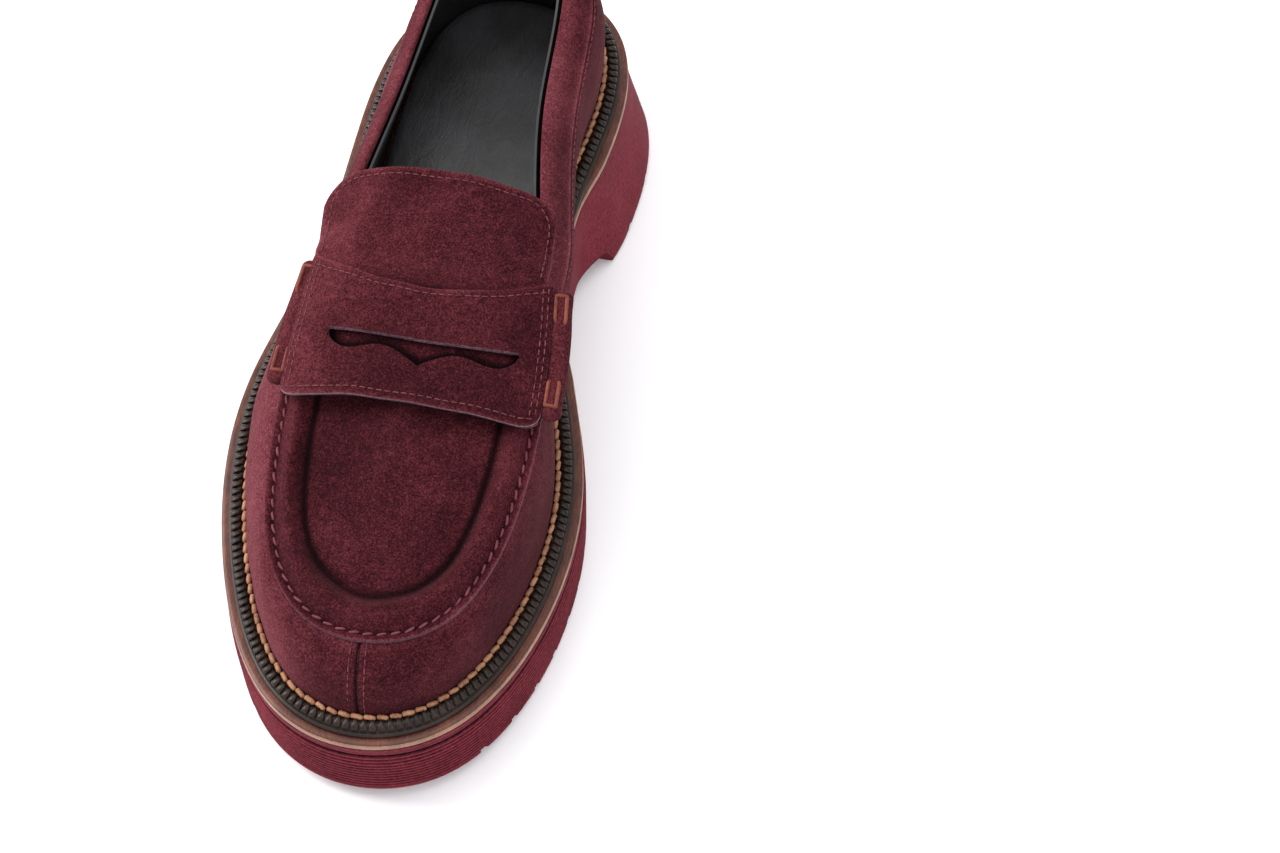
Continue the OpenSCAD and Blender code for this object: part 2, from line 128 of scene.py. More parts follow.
# Outer face of the walls, from the bottom edge (h = 0) to the rim (h = 1)
def wallFace(t, h):
    t, h = np.broadcast_arrays(np.asarray(t, float), np.asarray(h, float))
    foot = edgeAt(t, 0 * t, shoe["gap"])
    top = spline(rimPoints, t)
    n = outward(featherPoints, t)
    rise = (top[..., 2] - foot[..., 2])[..., None]
    inset = np.linalg.norm((foot - top)[..., :2], axis=-1)[..., None]
    back = ease((foot[..., 1] + 60) / 80)[..., None]
    a = foot + n * 2 + upAxis * rise * mix(0.55, 0.4, back)
    b = top + n * mix(inset * 0.55, 3, back) - upAxis * rise * mix(0.05, 0.35, back)
    h = h[..., None]
    return (1 - h) ** 3 * foot + 3 * h * (1 - h) ** 2 * a + 3 * h * h * (1 - h) * b + h ** 3 * top


def wallNormal(t, h):
    along = wallFace(t + tiny, h) - wallFace(t - tiny, h)
    up = wallFace(t, h + tiny) - wallFace(t, h - tiny)
    return unit(np.cross(along, up))


def wallAt(t, h, depth):
    t, h = np.broadcast_arrays(np.asarray(t, float), np.asarray(h, float))
    return wallFace(t, h) - wallNormal(t, h) * np.asarray(depth)[..., None]


# Rim parameter at a given y on the inner side (1) or the outer side (-1)
def rimAt(y, side):
    y = np.asarray(y, float)
    low, high = np.full(y.shape, 0.8), np.full(y.shape, 8.0)
    for halving in range(30):
        middle = (low + high) / 2
        before = spline(rimPoints, side * middle)[..., 1] < y
        low, high = np.where(before, middle, low), np.where(before, high, middle)
    return side * (low + high) / 2


# The gentle unevenness of leather pulled over a last
def sway(points, size, length, phase=0.0):
    k = 2 * math.pi / length
    x, y, z = points[..., 0], points[..., 1], points[..., 2]
    return size * (np.sin(k * (0.9 * x + 0.45 * y + 0.3 * z) + phase)
                   * np.cos(k * (0.7 * y - 0.35 * x + 0.5 * z) + 1.3 * phase)
                   + 0.5 * np.sin(2.3 * k * (0.6 * x - 0.5 * y) + 2 * phase))


finishes = {}


def signedVolume(points, faces):
    total = 0.0
    for size in (3, 4):
        part = np.array([f for f in faces if len(f) == size], int).reshape(-1, size)
        for k in range(1, size - 1):
            a, b, c = points[part[:, 0]], points[part[:, k]], points[part[:, k + 1]]
            total += np.einsum("ij,ij->i", a, np.cross(b, c)).sum()
    return total / 6


# Object of a mesh, lamp or camera, linked to the scene
def link(name, data):
    thing = bpy.data.objects.new(name, data)
    bpy.context.scene.collection.objects.link(thing)
    return thing


# Mesh of a closed shape with its faces turned outwards
def outwardMesh(name, points, faces):
    points = np.asarray(points, float)
    if signedVolume(points - points.mean(0), faces) < 0:
        faces = [tuple(reversed(f)) for f in faces]
    mesh = bpy.data.meshes.new(name)
    mesh.from_pydata((points * mm).tolist(), [], faces)
    return mesh


def smoothShade(mesh, sharp):
    mesh.polygons.foreach_set("use_smooth", [True] * len(mesh.polygons))
    mesh.set_sharp_from_angle(angle=math.radians(sharp))


def addPiece(name, points, faces, finishNames, faceFinish=None, marks=None, sharp=45, bevel=0.0):
    mesh = outwardMesh(name, points, faces)
    for finishName in finishNames:
        mesh.materials.append(finishes[finishName])
    if faceFinish is not None:
        mesh.polygons.foreach_set("material_index", np.asarray(faceFinish, np.int32))
    for mark, values in (marks or {}).items():
        layer = mesh.attributes.new(mark, "FLOAT", "POINT")
        layer.data.foreach_set("value", np.ravel(values).astype(np.float32))
    piece = link(name, mesh)
    if bevel:
        modifier = piece.modifiers.new("softEdge", "BEVEL")
        modifier.width, modifier.segments = bevel * mm, 2
        modifier.limit_method, modifier.angle_limit = "ANGLE", math.radians(50)
        piece = plain(piece)
    smoothShade(piece.data, sharp)
    piece.data.update()
    return piece


# Turns a piece with modifiers into one with a plain mesh of the same name
def plain(piece):
    name = piece.name
    bpy.context.view_layer.update()
    graph = bpy.context.evaluated_depsgraph_get()
    mesh = bpy.data.meshes.new_from_object(piece.evaluated_get(graph), depsgraph=graph)
    old = piece.data
    piece.modifiers.clear()
    piece.data = mesh
    bpy.data.meshes.remove(old)
    piece.name = name
    mesh.name = name
    return piece


# Closed sheet between two grids of points; welded names the sides that have no edge strip
def sheetFaces(rows, columns, welded=()):
    count = rows * columns
    last = (rows - 1) * columns
    faces, kinds = [], []
    for i in range(rows - 1):
        for j in range(columns - 1):
            a = i * columns + j
            b, c, d = a + columns, a + columns + 1, a + 1
            faces += [(a, b, c, d), (a + count, d + count, c + count, b + count)]
            kinds += [0, 0]
    strips = [(i * columns, (i + 1) * columns) for i in range(rows - 1)]
    if "high" not in welded:
        strips += [((i + 2) * columns - 1, (i + 1) * columns - 1) for i in range(rows - 1)]
    if "start" not in welded:
        strips += [(j + 1, j) for j in range(columns - 1)]
    if "end" not in welded:
        strips += [(last + j, last + j + 1) for j in range(columns - 1)]
    for a, b in strips:
        faces.append((b, a, a + count, b + count))
        kinds.append(1)
    return faces, kinds


def addSheet(name, top, bottom, finishNames, marks=None, welded=(), bevel=0.0, sharp=45):
    rows, columns = top.shape[:2]
    faces, kinds = sheetFaces(rows, columns, welded)
    points = np.concatenate([top.reshape(-1, 3), bottom.reshape(-1, 3)])
    both = {mark: np.concatenate([np.ravel(v), np.ravel(v)]) for mark, v in (marks or {}).items()}
    edge = [min(k, len(finishNames) - 1) for k in kinds]
    return addPiece(name, points, faces, finishNames, edge, both, sharp, bevel)


# Strip of quads across a flat ring of an even number of points
def capFaces(base, count, turned):
    quads = [(base + j, base + j + 1, base + count - 2 - j, base + count - 1 - j)
             for j in range(count // 2 - 1)]
    return [tuple(reversed(quad)) for quad in quads] if turned else quads


# Solid stacked from rings of an even number of points, closed by strips across the first and the last
def ringSolid(rings):
    levels, n = rings.shape[:2]
    faces = [(i * n + j, i * n + (j + 1) % n, (i + 1) * n + (j + 1) % n, (i + 1) * n + j)
             for i in range(levels - 1) for j in range(n)]
    faces += capFaces(0, n, True) + capFaces((levels - 1) * n, n, False)
    return rings.reshape(-1, 3), faces


# Ring that closes on itself, its section a closed outline
def loopBand(sections):
    n, m = sections.shape[:2]
    faces = [(i * m + j, ((i + 1) % n) * m + j, ((i + 1) % n) * m + (j + 1) % m, i * m + (j + 1) % m)
             for i in range(n) for j in range(m)]
    return sections.reshape(-1, 3), faces


# Band with two ends, its section a closed outline
def openBand(sections):
    n, m = sections.shape[:2]
    faces = [(i * m + j, (i + 1) * m + j, (i + 1) * m + (j + 1) % m, i * m + (j + 1) % m)
             for i in range(n - 1) for j in range(m)]
    faces += capFaces(0, m, False) + capFaces((n - 1) * m, m, True)
    return sections.reshape(-1, 3), faces


# Round or twisted cord along a path; lobes and twist give the plies of a thread
def cordSections(path, radius, sides, plies=0, twistPitch=1.0, flat=1.0):
    path = np.asarray(path, float)
    along = unit(np.gradient(path, axis=0))
    side = unit(np.cross(along, upAxis))
    high = np.cross(side, along)
    length = np.concatenate([[0], np.cumsum(np.linalg.norm(np.diff(path, axis=0), axis=1))])
    angle = np.arange(sides) * 2 * math.pi / sides
    radius = np.broadcast_to(radius, (len(path),))[:, None]
    if plies:
        twist = 2 * math.pi * length[:, None] / twistPitch
        radius = radius * (0.86 + 0.22 * np.abs(np.cos((angle[None] * plies - twist * plies) / 2)))
    return (path[:, None] + radius[..., None] * (np.cos(angle)[None, :, None] * high[:, None] * flat
                                                 + np.sin(angle)[None, :, None] * side[:, None]))


# Screen colour, 0 to 255, as the linear colour that a shader takes
def tone(*colour):
    linear = [c / 255 / 12.92 if c <= 10 else ((c / 255 + 0.055) / 1.055) ** 2.4 for c in colour]
    return tuple(linear) + (1.0,)


def add(tree, kind, inputs=None, **settings):
    node = tree.nodes.new(kind)
    for key, value in settings.items():
        setattr(node, key, value)
    for key, value in (inputs or {}).items():
        if isinstance(value, bpy.types.NodeSocket):
            tree.links.new(value, node.inputs[key])
        else:
            node.inputs[key].default_value = value
    return node


def math2(tree, operation, a, b):
    return add(tree, "ShaderNodeMath", {0: a, 1: b}, operation=operation).outputs[0]


def noiseAt(tree, place, scale, detail=3.0, roughness=0.55, distortion=0.0):
    return add(tree, "ShaderNodeTexNoise", {
        "Vector": place, "Scale": scale, "Detail": detail, "Roughness": roughness,
        "Distortion": distortion}).outputs["Fac"]


def markOf(tree, name):
    return add(tree, "ShaderNodeAttribute", attribute_name=name).outputs["Fac"]


# Sum of patterns, each times its share
def sumOf(tree, *parts):
    level = None
    for pattern, share in parts:
        part = math2(tree, "MULTIPLY", pattern, share)
        level = part if level is None else math2(tree, "ADD", level, part)
    return level


def rampOf(tree, level, stops):
    node = add(tree, "ShaderNodeValToRGB", {"Fac": level})
    elements = node.color_ramp.elements
    elements[0].position, elements[0].color = stops[0]
    elements[1].position, elements[1].color = stops[-1]
    for position, colour in stops[1:-1]:
        elements.new(position).color = colour
    return node.outputs["Color"]


def newFinish(name, shader):
    material = bpy.data.materials.new(name)
    material.use_nodes = True
    tree = material.node_tree
    surface = tree.nodes["Principled BSDF"]
    for key, value in shader.items():
        surface.inputs[key].default_value = value
    finishes[name] = material
    place = add(tree, "ShaderNodeTexCoord").outputs["Object"]
    return tree, surface, place


def colourOnto(tree, surface, level, stops):
    tree.links.new(rampOf(tree, level, stops), surface.inputs["Base Color"])


def roughOnto(tree, surface, level, low, high):
    reach = add(tree, "ShaderNodeMapRange", {"Value": level, "To Min": low, "To Max": high})
    tree.links.new(reach.outputs["Result"], surface.inputs["Roughness"])


# heights is a list of (pattern, strength, depth in millimetres)
def bumpOnto(tree, surface, heights):
    normal = None
    for height, strength, distance in heights:
        inputs = {"Height": height, "Strength": strength, "Distance": distance * mm}
        if normal is not None:
            inputs["Normal"] = normal
        normal = add(tree, "ShaderNodeBump", inputs).outputs["Normal"]
    tree.links.new(normal, surface.inputs["Normal"])


suedeLook = {
    "napSize": 30,       # brushed patches, mm across
    "mottleSize": 2.4,   # tufts
    "fibreSize": 0.6,    # single fibres
    "napShare": 0.22, "mottleShare": 0.16, "fibreShare": 0.62,
    "wearAndHighlightShare": 0.21,   # how much lighter worn edges and painted highlights are
    # painted shade: how much darker creases, seams, recesses and undersides are made
    "creaseShadeShare": -0.21,
    "stops": (0.28, 0.41, 0.50, 0.63, 0.84),
}


# Brushed nap: patches lean one way or the other; one mark lightens worn edges and paints highlights where
# light falls, another paints shade in creases, seams and recesses
def makeSuede(name, tones, sheen):
    look = suedeLook
    tree, surface, place = newFinish(name, {
        "Roughness": 0.95, "Specular IOR Level": 0.04, "Sheen Weight": sheen, "Sheen Roughness": 0.5,
        "Sheen Tint": (0.85, 0.3, 0.34, 1)})
    nap = noiseAt(tree, place, 1000 / look["napSize"], 2.5, 0.5, 0.8)
    mottle = noiseAt(tree, place, 1000 / look["mottleSize"], 3, 0.6, 0.4)
    fibre = noiseAt(tree, place, 1000 / look["fibreSize"], 3, 0.75)
    level = sumOf(tree, (nap, look["napShare"]), (mottle, look["mottleShare"]), (fibre, look["fibreShare"]),
                  (markOf(tree, "wear"), look["wearAndHighlightShare"]), (markOf(tree, "crease"), look["creaseShadeShare"]))
    colourOnto(tree, surface, level, list(zip(look["stops"], tones)))
    bumpOnto(tree, surface, [(fibre, 0.8, 0.35), (mottle, 0.5, 0.5)])


suedeTones = {
    "suede": ((14, 4, 6), (30, 9, 13), (54, 18, 23), (90, 40, 47), (132, 76, 84)),
    # cut edges; a lighter copy on the strap's own edges, painted highlight; and a darker copy for what shows
    # in the slot, painted shade
    "suedeCut": ((22, 9, 12), (44, 20, 26), (66, 36, 43), (90, 60, 67), (112, 82, 90)),
    "suedeRim": ((34, 20, 25), (66, 42, 50), (98, 72, 82), (130, 104, 114), (150, 126, 134)),
    "suedeShade": ((9, 3, 4), (28, 8, 12), (52, 17, 22), (84, 38, 44), (110, 60, 68)),
}
for name, tones in suedeTones.items():
    makeSuede(name, [tone(*colour) for colour in tones], 0.07 if name == "suede" else 0.04)


# Soft foam of the outsole: even colour, closed cells and a slight skin; the groove mark paints shade into the
# grooves
def makeFoamSole():
    tree, surface, place = newFinish("foamSole", {"Roughness": 0.8, "Specular IOR Level": 0.08})
    cells = add(tree, "ShaderNodeTexVoronoi", {"Vector": place, "Scale": 1300.0}).outputs["Distance"]
    cloud = noiseAt(tree, place, 60, 4, 0.6)
    grit = noiseAt(tree, place, 900, 3, 0.6)
    level = sumOf(tree, (cloud, 0.3), (grit, 0.7), (markOf(tree, "groove"), -0.55))
    colourOnto(tree, surface, level, [(0.1, tone(24, 6, 9)), (0.35, tone(84, 26, 36)),
                                      (0.5, tone(104, 37, 47)), (0.72, tone(124, 52, 62))])
    roughOnto(tree, surface, grit, 0.7, 0.9)
    bumpOnto(tree, surface, [(cells, 0.2, 0.06), (grit, 0.35, 0.12)])


makeFoamSole()


# Leather board: fibres and scratches over a stained colour
def makeBoardLeather(name, stops, roughness, scratch, gloss=0.32):
    tree, surface, place = newFinish(name, {"Specular IOR Level": gloss, "Coat Weight": 0.06,
                                            "Coat Roughness": 0.3})
    stretched = add(tree, "ShaderNodeMapping", {"Vector": place, "Scale": (1.0, 0.22, 1.0),
                                                "Rotation": (0, 0, 0.4)}).outputs["Vector"]
    lines = noiseAt(tree, stretched, 1500, 4, 0.7)
    stain = noiseAt(tree, place, 110, 4, 0.6)
    fleck = noiseAt(tree, place, 2200, 2, 0.6)
    level = sumOf(tree, (lines, 0.4), (stain, 0.35), (fleck, 0.25))
    colourOnto(tree, surface, level, stops)
    roughOnto(tree, surface, lines, roughness - 0.15, roughness + 0.2)
    bumpOnto(tree, surface, [(lines, scratch, 0.12), (fleck, 0.3, 0.05)])


makeBoardLeather("midsoleTop", [(0.36, tone(40, 18, 12)), (0.5, tone(80, 38, 25)),
                                (0.66, tone(112, 62, 44))], 0.34, 0.5)
makeBoardLeather("midsoleEdge", [(0.34, tone(88, 58, 42)), (0.5, tone(134, 98, 74)),
                                 (0.7, tone(164, 134, 112))], 0.45, 0.35)
makeBoardLeather("weltBrown", [(0.34, tone(18, 11, 8)), (0.52, tone(36, 24, 18)), (0.72, tone(62, 45, 36))],
                 0.33, 0.25, 0.2)
makeBoardLeather("insoleBoard", [(0.34, tone(150, 118, 86)), (0.5, tone(184, 152, 116)),
                                 (0.7, tone(206, 180, 146))], 0.7, 0.3)


# Smooth leather with a fine grain, and shallow creases where it is walked on
def makeLeather(name, dark, light, roughness, creases):
    tree, surface, place = newFinish(name, {"Specular IOR Level": 0.45, "Coat Weight": 0.1,
                                            "Coat Roughness": 0.3})
    grain = add(tree, "ShaderNodeTexVoronoi", {"Vector": place, "Scale": 1100.0}).outputs["Distance"]
    stretched = add(tree, "ShaderNodeMapping", {"Vector": place, "Scale": (1.0, 0.3, 1.0)}).outputs["Vector"]
    fold = noiseAt(tree, stretched, 170, 5, 0.65, 1.2)
    cloud = noiseAt(tree, place, 45, 3, 0.5)
    colourOnto(tree, surface, cloud, [(0.35, dark), (0.65, light)])
    roughOnto(tree, surface, fold, roughness - 0.1, roughness + 0.15)
    bumpOnto(tree, surface, [(grain, 0.25, 0.08), (fold, creases, 0.5)])


makeLeather("liningLeather", tone(16, 16, 18), tone(31, 31, 34), 0.5, 0.2)
makeLeather("sockLeather", tone(19, 19, 21), tone(40, 40, 43), 0.42, 0.5)


# Spun thread: fine fibres over slow changes of colour
def makeThread(name, dark, light):
    tree, surface, place = newFinish(name, {"Roughness": 0.6, "Specular IOR Level": 0.25})
    fibre = noiseAt(tree, place, 3000, 2, 0.6)
    run = noiseAt(tree, place, 260, 2, 0.5)
    level = sumOf(tree, (fibre, 0.5), (run, 0.5))
    colourOnto(tree, surface, level, [(0.32, dark), (0.68, light)])
    bumpOnto(tree, surface, [(fibre, 0.5, 0.08)])


makeThread("seamThread", tone(60, 20, 27), tone(122, 60, 68))
makeThread("fineThread", tone(60, 22, 28), tone(120, 64, 70))
makeThread("weltThread", tone(96, 58, 42), tone(190, 138, 106))
makeThread("tackThread", tone(66, 26, 20), tone(136, 66, 46))
makeThread("backingEdge", tone(40, 26, 29), tone(74, 56, 60))   # fibrous cut edge behind the strap


# Inner pieces: granular cork, pressed stiffener, foam and brushed steel
def makeInner(name, stops, size, roughness, metallic=0.0):
    tree, surface, place = newFinish(name, {"Roughness": roughness, "Metallic": metallic})
    grain = add(tree, "ShaderNodeTexVoronoi", {"Vector": place, "Scale": 1000 / size}).outputs["Distance"]
    cloud = noiseAt(tree, place, 500 / size, 3)
    colourOnto(tree, surface, sumOf(tree, (grain, 0.5), (cloud, 0.5)), stops)
    bumpOnto(tree, surface, [(grain, 0.3, size * 0.08)])


makeInner("cork", [(0.3, tone(120, 84, 50)), (0.65, tone(200, 156, 108))], 2.2, 0.85)
makeInner("stiffener", [(0.3, tone(186, 178, 158)), (0.65, tone(216, 210, 194))], 0.8, 0.8)
makeInner("foam", [(0.3, tone(60, 60, 66)), (0.65, tone(92, 92, 98))], 0.7, 0.9)
makeInner("collarFoam", [(0.3, tone(206, 200, 180)), (0.65, tone(232, 228, 214))], 0.7, 0.9)
makeInner("steel", [(0.3, tone(150, 152, 156)), (0.65, tone(196, 198, 202))], 0.9, 0.35, 0.9)
print("finishes made:", len(finishes))


# Repeats one small shape at an even pitch along every line of a path mesh, its X along the line and
# its Z along the stored "lean" vector
def makeRowTree():
    tree = bpy.data.node_groups.new("repeatAlongPath", "GeometryNodeTree")
    for label, kind in (("Geometry", "NodeSocketGeometry"), ("Shape", "NodeSocketObject"),
                        ("Pitch", "NodeSocketFloat"), ("Slant", "NodeSocketFloat"),
                        ("Unevenness", "NodeSocketFloat"), ("Seed", "NodeSocketInt"),
                        ("Finish", "NodeSocketMaterial")):
        tree.interface.new_socket(name=label, in_out="INPUT", socket_type=kind)
    tree.interface.new_socket(name="Geometry", in_out="OUTPUT", socket_type="NodeSocketGeometry")
    given = add(tree, "NodeGroupInput").outputs
    curve = add(tree, "GeometryNodeMeshToCurve", {"Mesh": given["Geometry"]}).outputs["Curve"]
    row = add(tree, "GeometryNodeResampleCurve", {"Curve": curve, "Length": given["Pitch"]},
              mode="LENGTH")
    lean = add(tree, "GeometryNodeInputNamedAttribute", {"Name": "lean"}, data_type="FLOAT_VECTOR")
    tangent = add(tree, "GeometryNodeInputTangent").outputs["Tangent"]
    along = add(tree, "FunctionNodeAlignRotationToVector", {"Vector": tangent}, axis="X")
    upright = add(tree, "FunctionNodeAlignRotationToVector", {
        "Rotation": along.outputs["Rotation"], "Vector": lean.outputs["Attribute"]},
        axis="Z", pivot_axis="X")
    chance = add(tree, "FunctionNodeRandomValue", {"Seed": given["Seed"]}, data_type="FLOAT")
    chance.inputs[2].default_value, chance.inputs[3].default_value = -1.0, 1.0
    angle = math2(tree, "MULTIPLY_ADD", chance.outputs[1], given["Unevenness"])
    tree.links.new(given["Slant"], angle.node.inputs[2])
    turn = add(tree, "FunctionNodeAxisAngleToRotation", {"Axis": (0, 0, 1), "Angle": angle})
    rotation = add(tree, "FunctionNodeRotateRotation", {
        "Rotation": upright.outputs["Rotation"], "Rotate By": turn.outputs["Rotation"]},
        rotation_space="LOCAL")
    shape = add(tree, "GeometryNodeObjectInfo", {"Object": given["Shape"]}).outputs["Geometry"]
    spread = math2(tree, "MULTIPLY_ADD", chance.outputs[1], given["Unevenness"])
    spread.node.inputs[2].default_value = 1.0
    copies = add(tree, "GeometryNodeInstanceOnPoints", {
        "Points": row.outputs["Curve"], "Instance": shape, "Rotation": rotation.outputs["Rotation"],
        "Scale": spread})
    made = add(tree, "GeometryNodeRealizeInstances", {"Geometry": copies.outputs["Instances"]})
    painted = add(tree, "GeometryNodeSetMaterial", {
        "Geometry": made.outputs["Geometry"], "Material": given["Finish"]})
    add(tree, "NodeGroupOutput", {"Geometry": painted.outputs["Geometry"]})
    return tree


rowTree = makeRowTree()


# paths is a list of (points, lean vectors, closed) in millimetres
def addRow(name, paths, shape, pitch, finish, slant=0.0, unevenness=0.04, seed=1):
    points, leans, edges = [], [], []
    for line, lean, closed in paths:
        base = len(points)
        points += (np.asarray(line) * mm).tolist()
        leans += np.broadcast_to(lean, np.shape(line)).tolist()
        edges += [(base + i, base + i + 1) for i in range(len(line) - 1)]
        if closed:
            edges.append((base + len(line) - 1, base))
    mesh = bpy.data.meshes.new(name)
    mesh.from_pydata(points, edges, [])
    mesh.attributes.new("lean", "FLOAT_VECTOR", "POINT").data.foreach_set("vector", np.ravel(leans))
    piece = link(name, mesh)
    modifier = piece.modifiers.new("row", "NODES")
    modifier.node_group = rowTree
    values = {"Shape": shape, "Pitch": pitch * mm, "Slant": math.radians(slant), "Unevenness": unevenness,
              "Seed": seed, "Finish": finishes[finish]}
    for item in rowTree.interface.items_tree:
        if item.in_out == "INPUT" and item.name in values:
            modifier[item.identifier] = values[item.name]
    piece = plain(piece)
    smoothShade(piece.data, 50)
    return piece


helpers = []


# Shape that a row repeats, removed at the end
def helperShape(name, points, faces):
    shape = link(name, outwardMesh(name, points, faces))
    helpers.append(shape)
    return shape


# One stitch: two plies wound round each other, its ends diving into the leather
def stitchShape(name, length, radius, dive, wind):
    rings, sides, plies = 9, 8, 2
    s = np.linspace(-1, 1, rings)
    path = np.stack([s * length / 2, 0 * s, radius * 0.6 - dive * np.abs(s) ** 3], -1)
    sections = cordSections(path, radius * np.sqrt(1.04 - np.abs(s) ** 5), sides, plies, length / wind)
    return helperShape(name, *openBand(sections))


outsoleSizes = {
    "grooves": 11, "groovePitch": 1.85, "grooveDepth": 0.85,
    "smoothTop": 2.2,         # plain band above the first groove
    "flare": 2.5,             # spread of the heel block at the floor
    "flareSide": 4.5,         # more of it at the sides
    "waistTrim": 2.4,         # narrower ledge under the arch, on the inner side
    "breast": 66,             # front of the heel block
    "archHeight": 9,
    "lugGap": 3.6, "lugDepth": 3.2, "lugPitch": 13.5, "heelLugPitch": 22,
}


# How much the sole steps in under the arch
def waistTrim(t):
    y = spline(featherPoints, t)[:, 1]
    inner = ease(outward(featherPoints, t)[:, 0] * 3)
    return outsoleSizes["waistTrim"] * inner * ease((y + 10) / 30) * (1 - ease((y - 55) / 25))


def buildOutsole():
    size = outsoleSizes
    t = (np.arange(outlineSteps) + 0.5) * turns / outlineSteps
    y = spline(featherPoints, t)[:, 1]
    high, low = deck(y) - shoe["midsole"], tread(y)
    flare = size["flare"] + size["flareSide"] * np.abs(outward(featherPoints, t)[:, 0])
    flare = flare * ease((y - 48) / 20)
    grooved = size["smoothTop"] + size["grooves"] * size["groovePitch"]
    drops = np.arange(size["smoothTop"], grooved + 0.01, size["groovePitch"] / 6)
    drops = np.concatenate([[0, 0.5], drops])
    heights = [high - d for d in drops]
    heights += [mix(heights[-1], low, k) for k in (0.3, 0.6, 0.8, 0.93, 1)]
    drops = np.concatenate([drops, [2 * grooved] * 5])   # below the grooves
    rings, grooves = [], []
    ribbed = 1 - ease((y - 15) / 30)
    for drop, z in zip(drops, heights):
        share = (z - low) / (high - low)
        off = np.interp(share, [0, 0.03, 0.08, 0.7, 1], [8.4, 9.3, 9.7, 10.1, 9.4])
        off = off + flare * np.interp(share, [0, 0.08, 0.7, 1], [1, 0.95, 0.15, 0])
        phase = (drop - size["smoothTop"]) / size["groovePitch"]
        groove = 0 * ribbed
        if 0 <= phase <= size["grooves"]:
            groove = ribbed * (0.5 + 0.5 * math.cos(2 * math.pi * phase)) ** 3
        off = off - size["grooveDepth"] * groove
        grooves.append(groove)
        p = edgeAt(t, off - waistTrim(t), 0)
        rings.append(np.stack([p[:, 0], p[:, 1], z], -1))
    points, faces = ringSolid(np.array(rings))
    # The groove mark, also read by the foam's colour, paints shade into the grooves
    sole = addPiece("outsoleMoulding", points, faces, ["foamSole"], marks={"groove": np.array(grooves)},
                    sharp=60)
    cutSole(sole)
    return sole


# Cuts the arch and the gaps between the lugs
def cutSole(sole):
    size = outsoleSizes
    wide = 90
    front = size["breast"] - 60
    arch = [(size["breast"] + 1, -1), (size["breast"] - 1.5, size["archHeight"] * 0.9),
            (size["breast"] - 4, size["archHeight"]), (size["breast"] - 22, size["archHeight"] * 0.8),
            (front + 2, 0), (front, -1)]
    outlines = [arch]
    for start, end, pitch in ((-134, front - 6, size["lugPitch"]),
                              (size["breast"] + 16, 150, size["heelLugPitch"])):
        for y in np.arange(start, end, pitch):
            top = float(tread(y)) + size["lugDepth"]
            half = size["lugGap"] / 2
            outlines.append([(y - half - 0.3, -1), (y - half + 0.3, top),
                             (y + half - 0.3, top), (y + half + 0.3, -1)])
    points, faces = [], []
    for outline in outlines:
        base, n = len(points), len(outline)
        points += [(x, y, z) for x in (-wide, wide) for y, z in outline]
        faces += [tuple(base + i for i in range(n)), tuple(base + n + i for i in reversed(range(n)))]
        faces += [(base + i, base + n + i, base + n + (i + 1) % n, base + (i + 1) % n) for i in range(n)]
    mesh = bpy.data.meshes.new("lugCutter")
    mesh.from_pydata((np.array(points) * mm).tolist(), [], faces)
    cutter = link("lugCutter", mesh)
    fixNormals(mesh)
    modifier = sole.modifiers.new("cut", "BOOLEAN")
    modifier.operation, modifier.solver, modifier.object = "DIFFERENCE", "MANIFOLD", cutter
    plain(sole)
    bpy.data.objects.remove(cutter)
    sole.data.set_sharp_from_angle(angle=math.radians(40))


def fixNormals(mesh):
    form = bmesh.new()
    form.from_mesh(mesh)
    bmesh.ops.recalc_face_normals(form, faces=form.faces)
    form.to_mesh(mesh)
    form.free()


def buildMidsole():
    n = outlineSteps
    t = (np.arange(n) + 0.5) * turns / n
    ledge, thick = shoe["ledge"], shoe["midsole"]
    levels = [(ledge - 0.3, -thick), (ledge - 0.05, -thick + 0.3), (ledge, -thick + 0.7), (ledge, -3.3),
              (ledge - 0.3, -3.05), (ledge - 0.3, -2.8), (ledge, -2.5), (ledge, -0.7), (ledge - 0.15, -0.3),
              (ledge - 0.5, -0.02), (ledge - 1.6, 0), (ledge - 4, 0), (2, 0), (-12, 0)]
    rings = np.array([edgeAt(t, off - waistTrim(t) * (off > 7), up) for off, up in levels])
    rings += np.stack([0 * rings[..., 0], 0 * rings[..., 0], sway(rings, 0.08, 34)], -1)
    points, faces = ringSolid(rings)
    edgeFrom, topFrom = 5 * n, 8 * n
    kinds = [0 if min(f) >= topFrom else 1 if min(f) >= edgeFrom else 2 for f in faces]
    # The groove mark paints shade into the notch round the edge, and towards the join with the outsole
    return addPiece("midsoleLeather", points, faces, ["midsoleTop", "midsoleEdge", "foamSole"], kinds,
                    marks={"groove": np.repeat([0.3, 0.2, 0.1, 0, 0.6, 1] + [0] * 8, n)}, sharp=50)


weltSizes = {
    "ribIn": 2.2, "ribOut": 5.4,                # the rib's sides, out from the upper
    "ribHeight": 4.6, "thick": 1.7,
    "toothPitch": 2.75, "toothDrop": 1.0, "toothLine": 3.75,
    "cordRadius": 0.75, "cordDrop": 1.2,        # room for the cord, and its depth below the rib's top
    "cordPitch": 4.1, "cordWidth": 1.75,
}


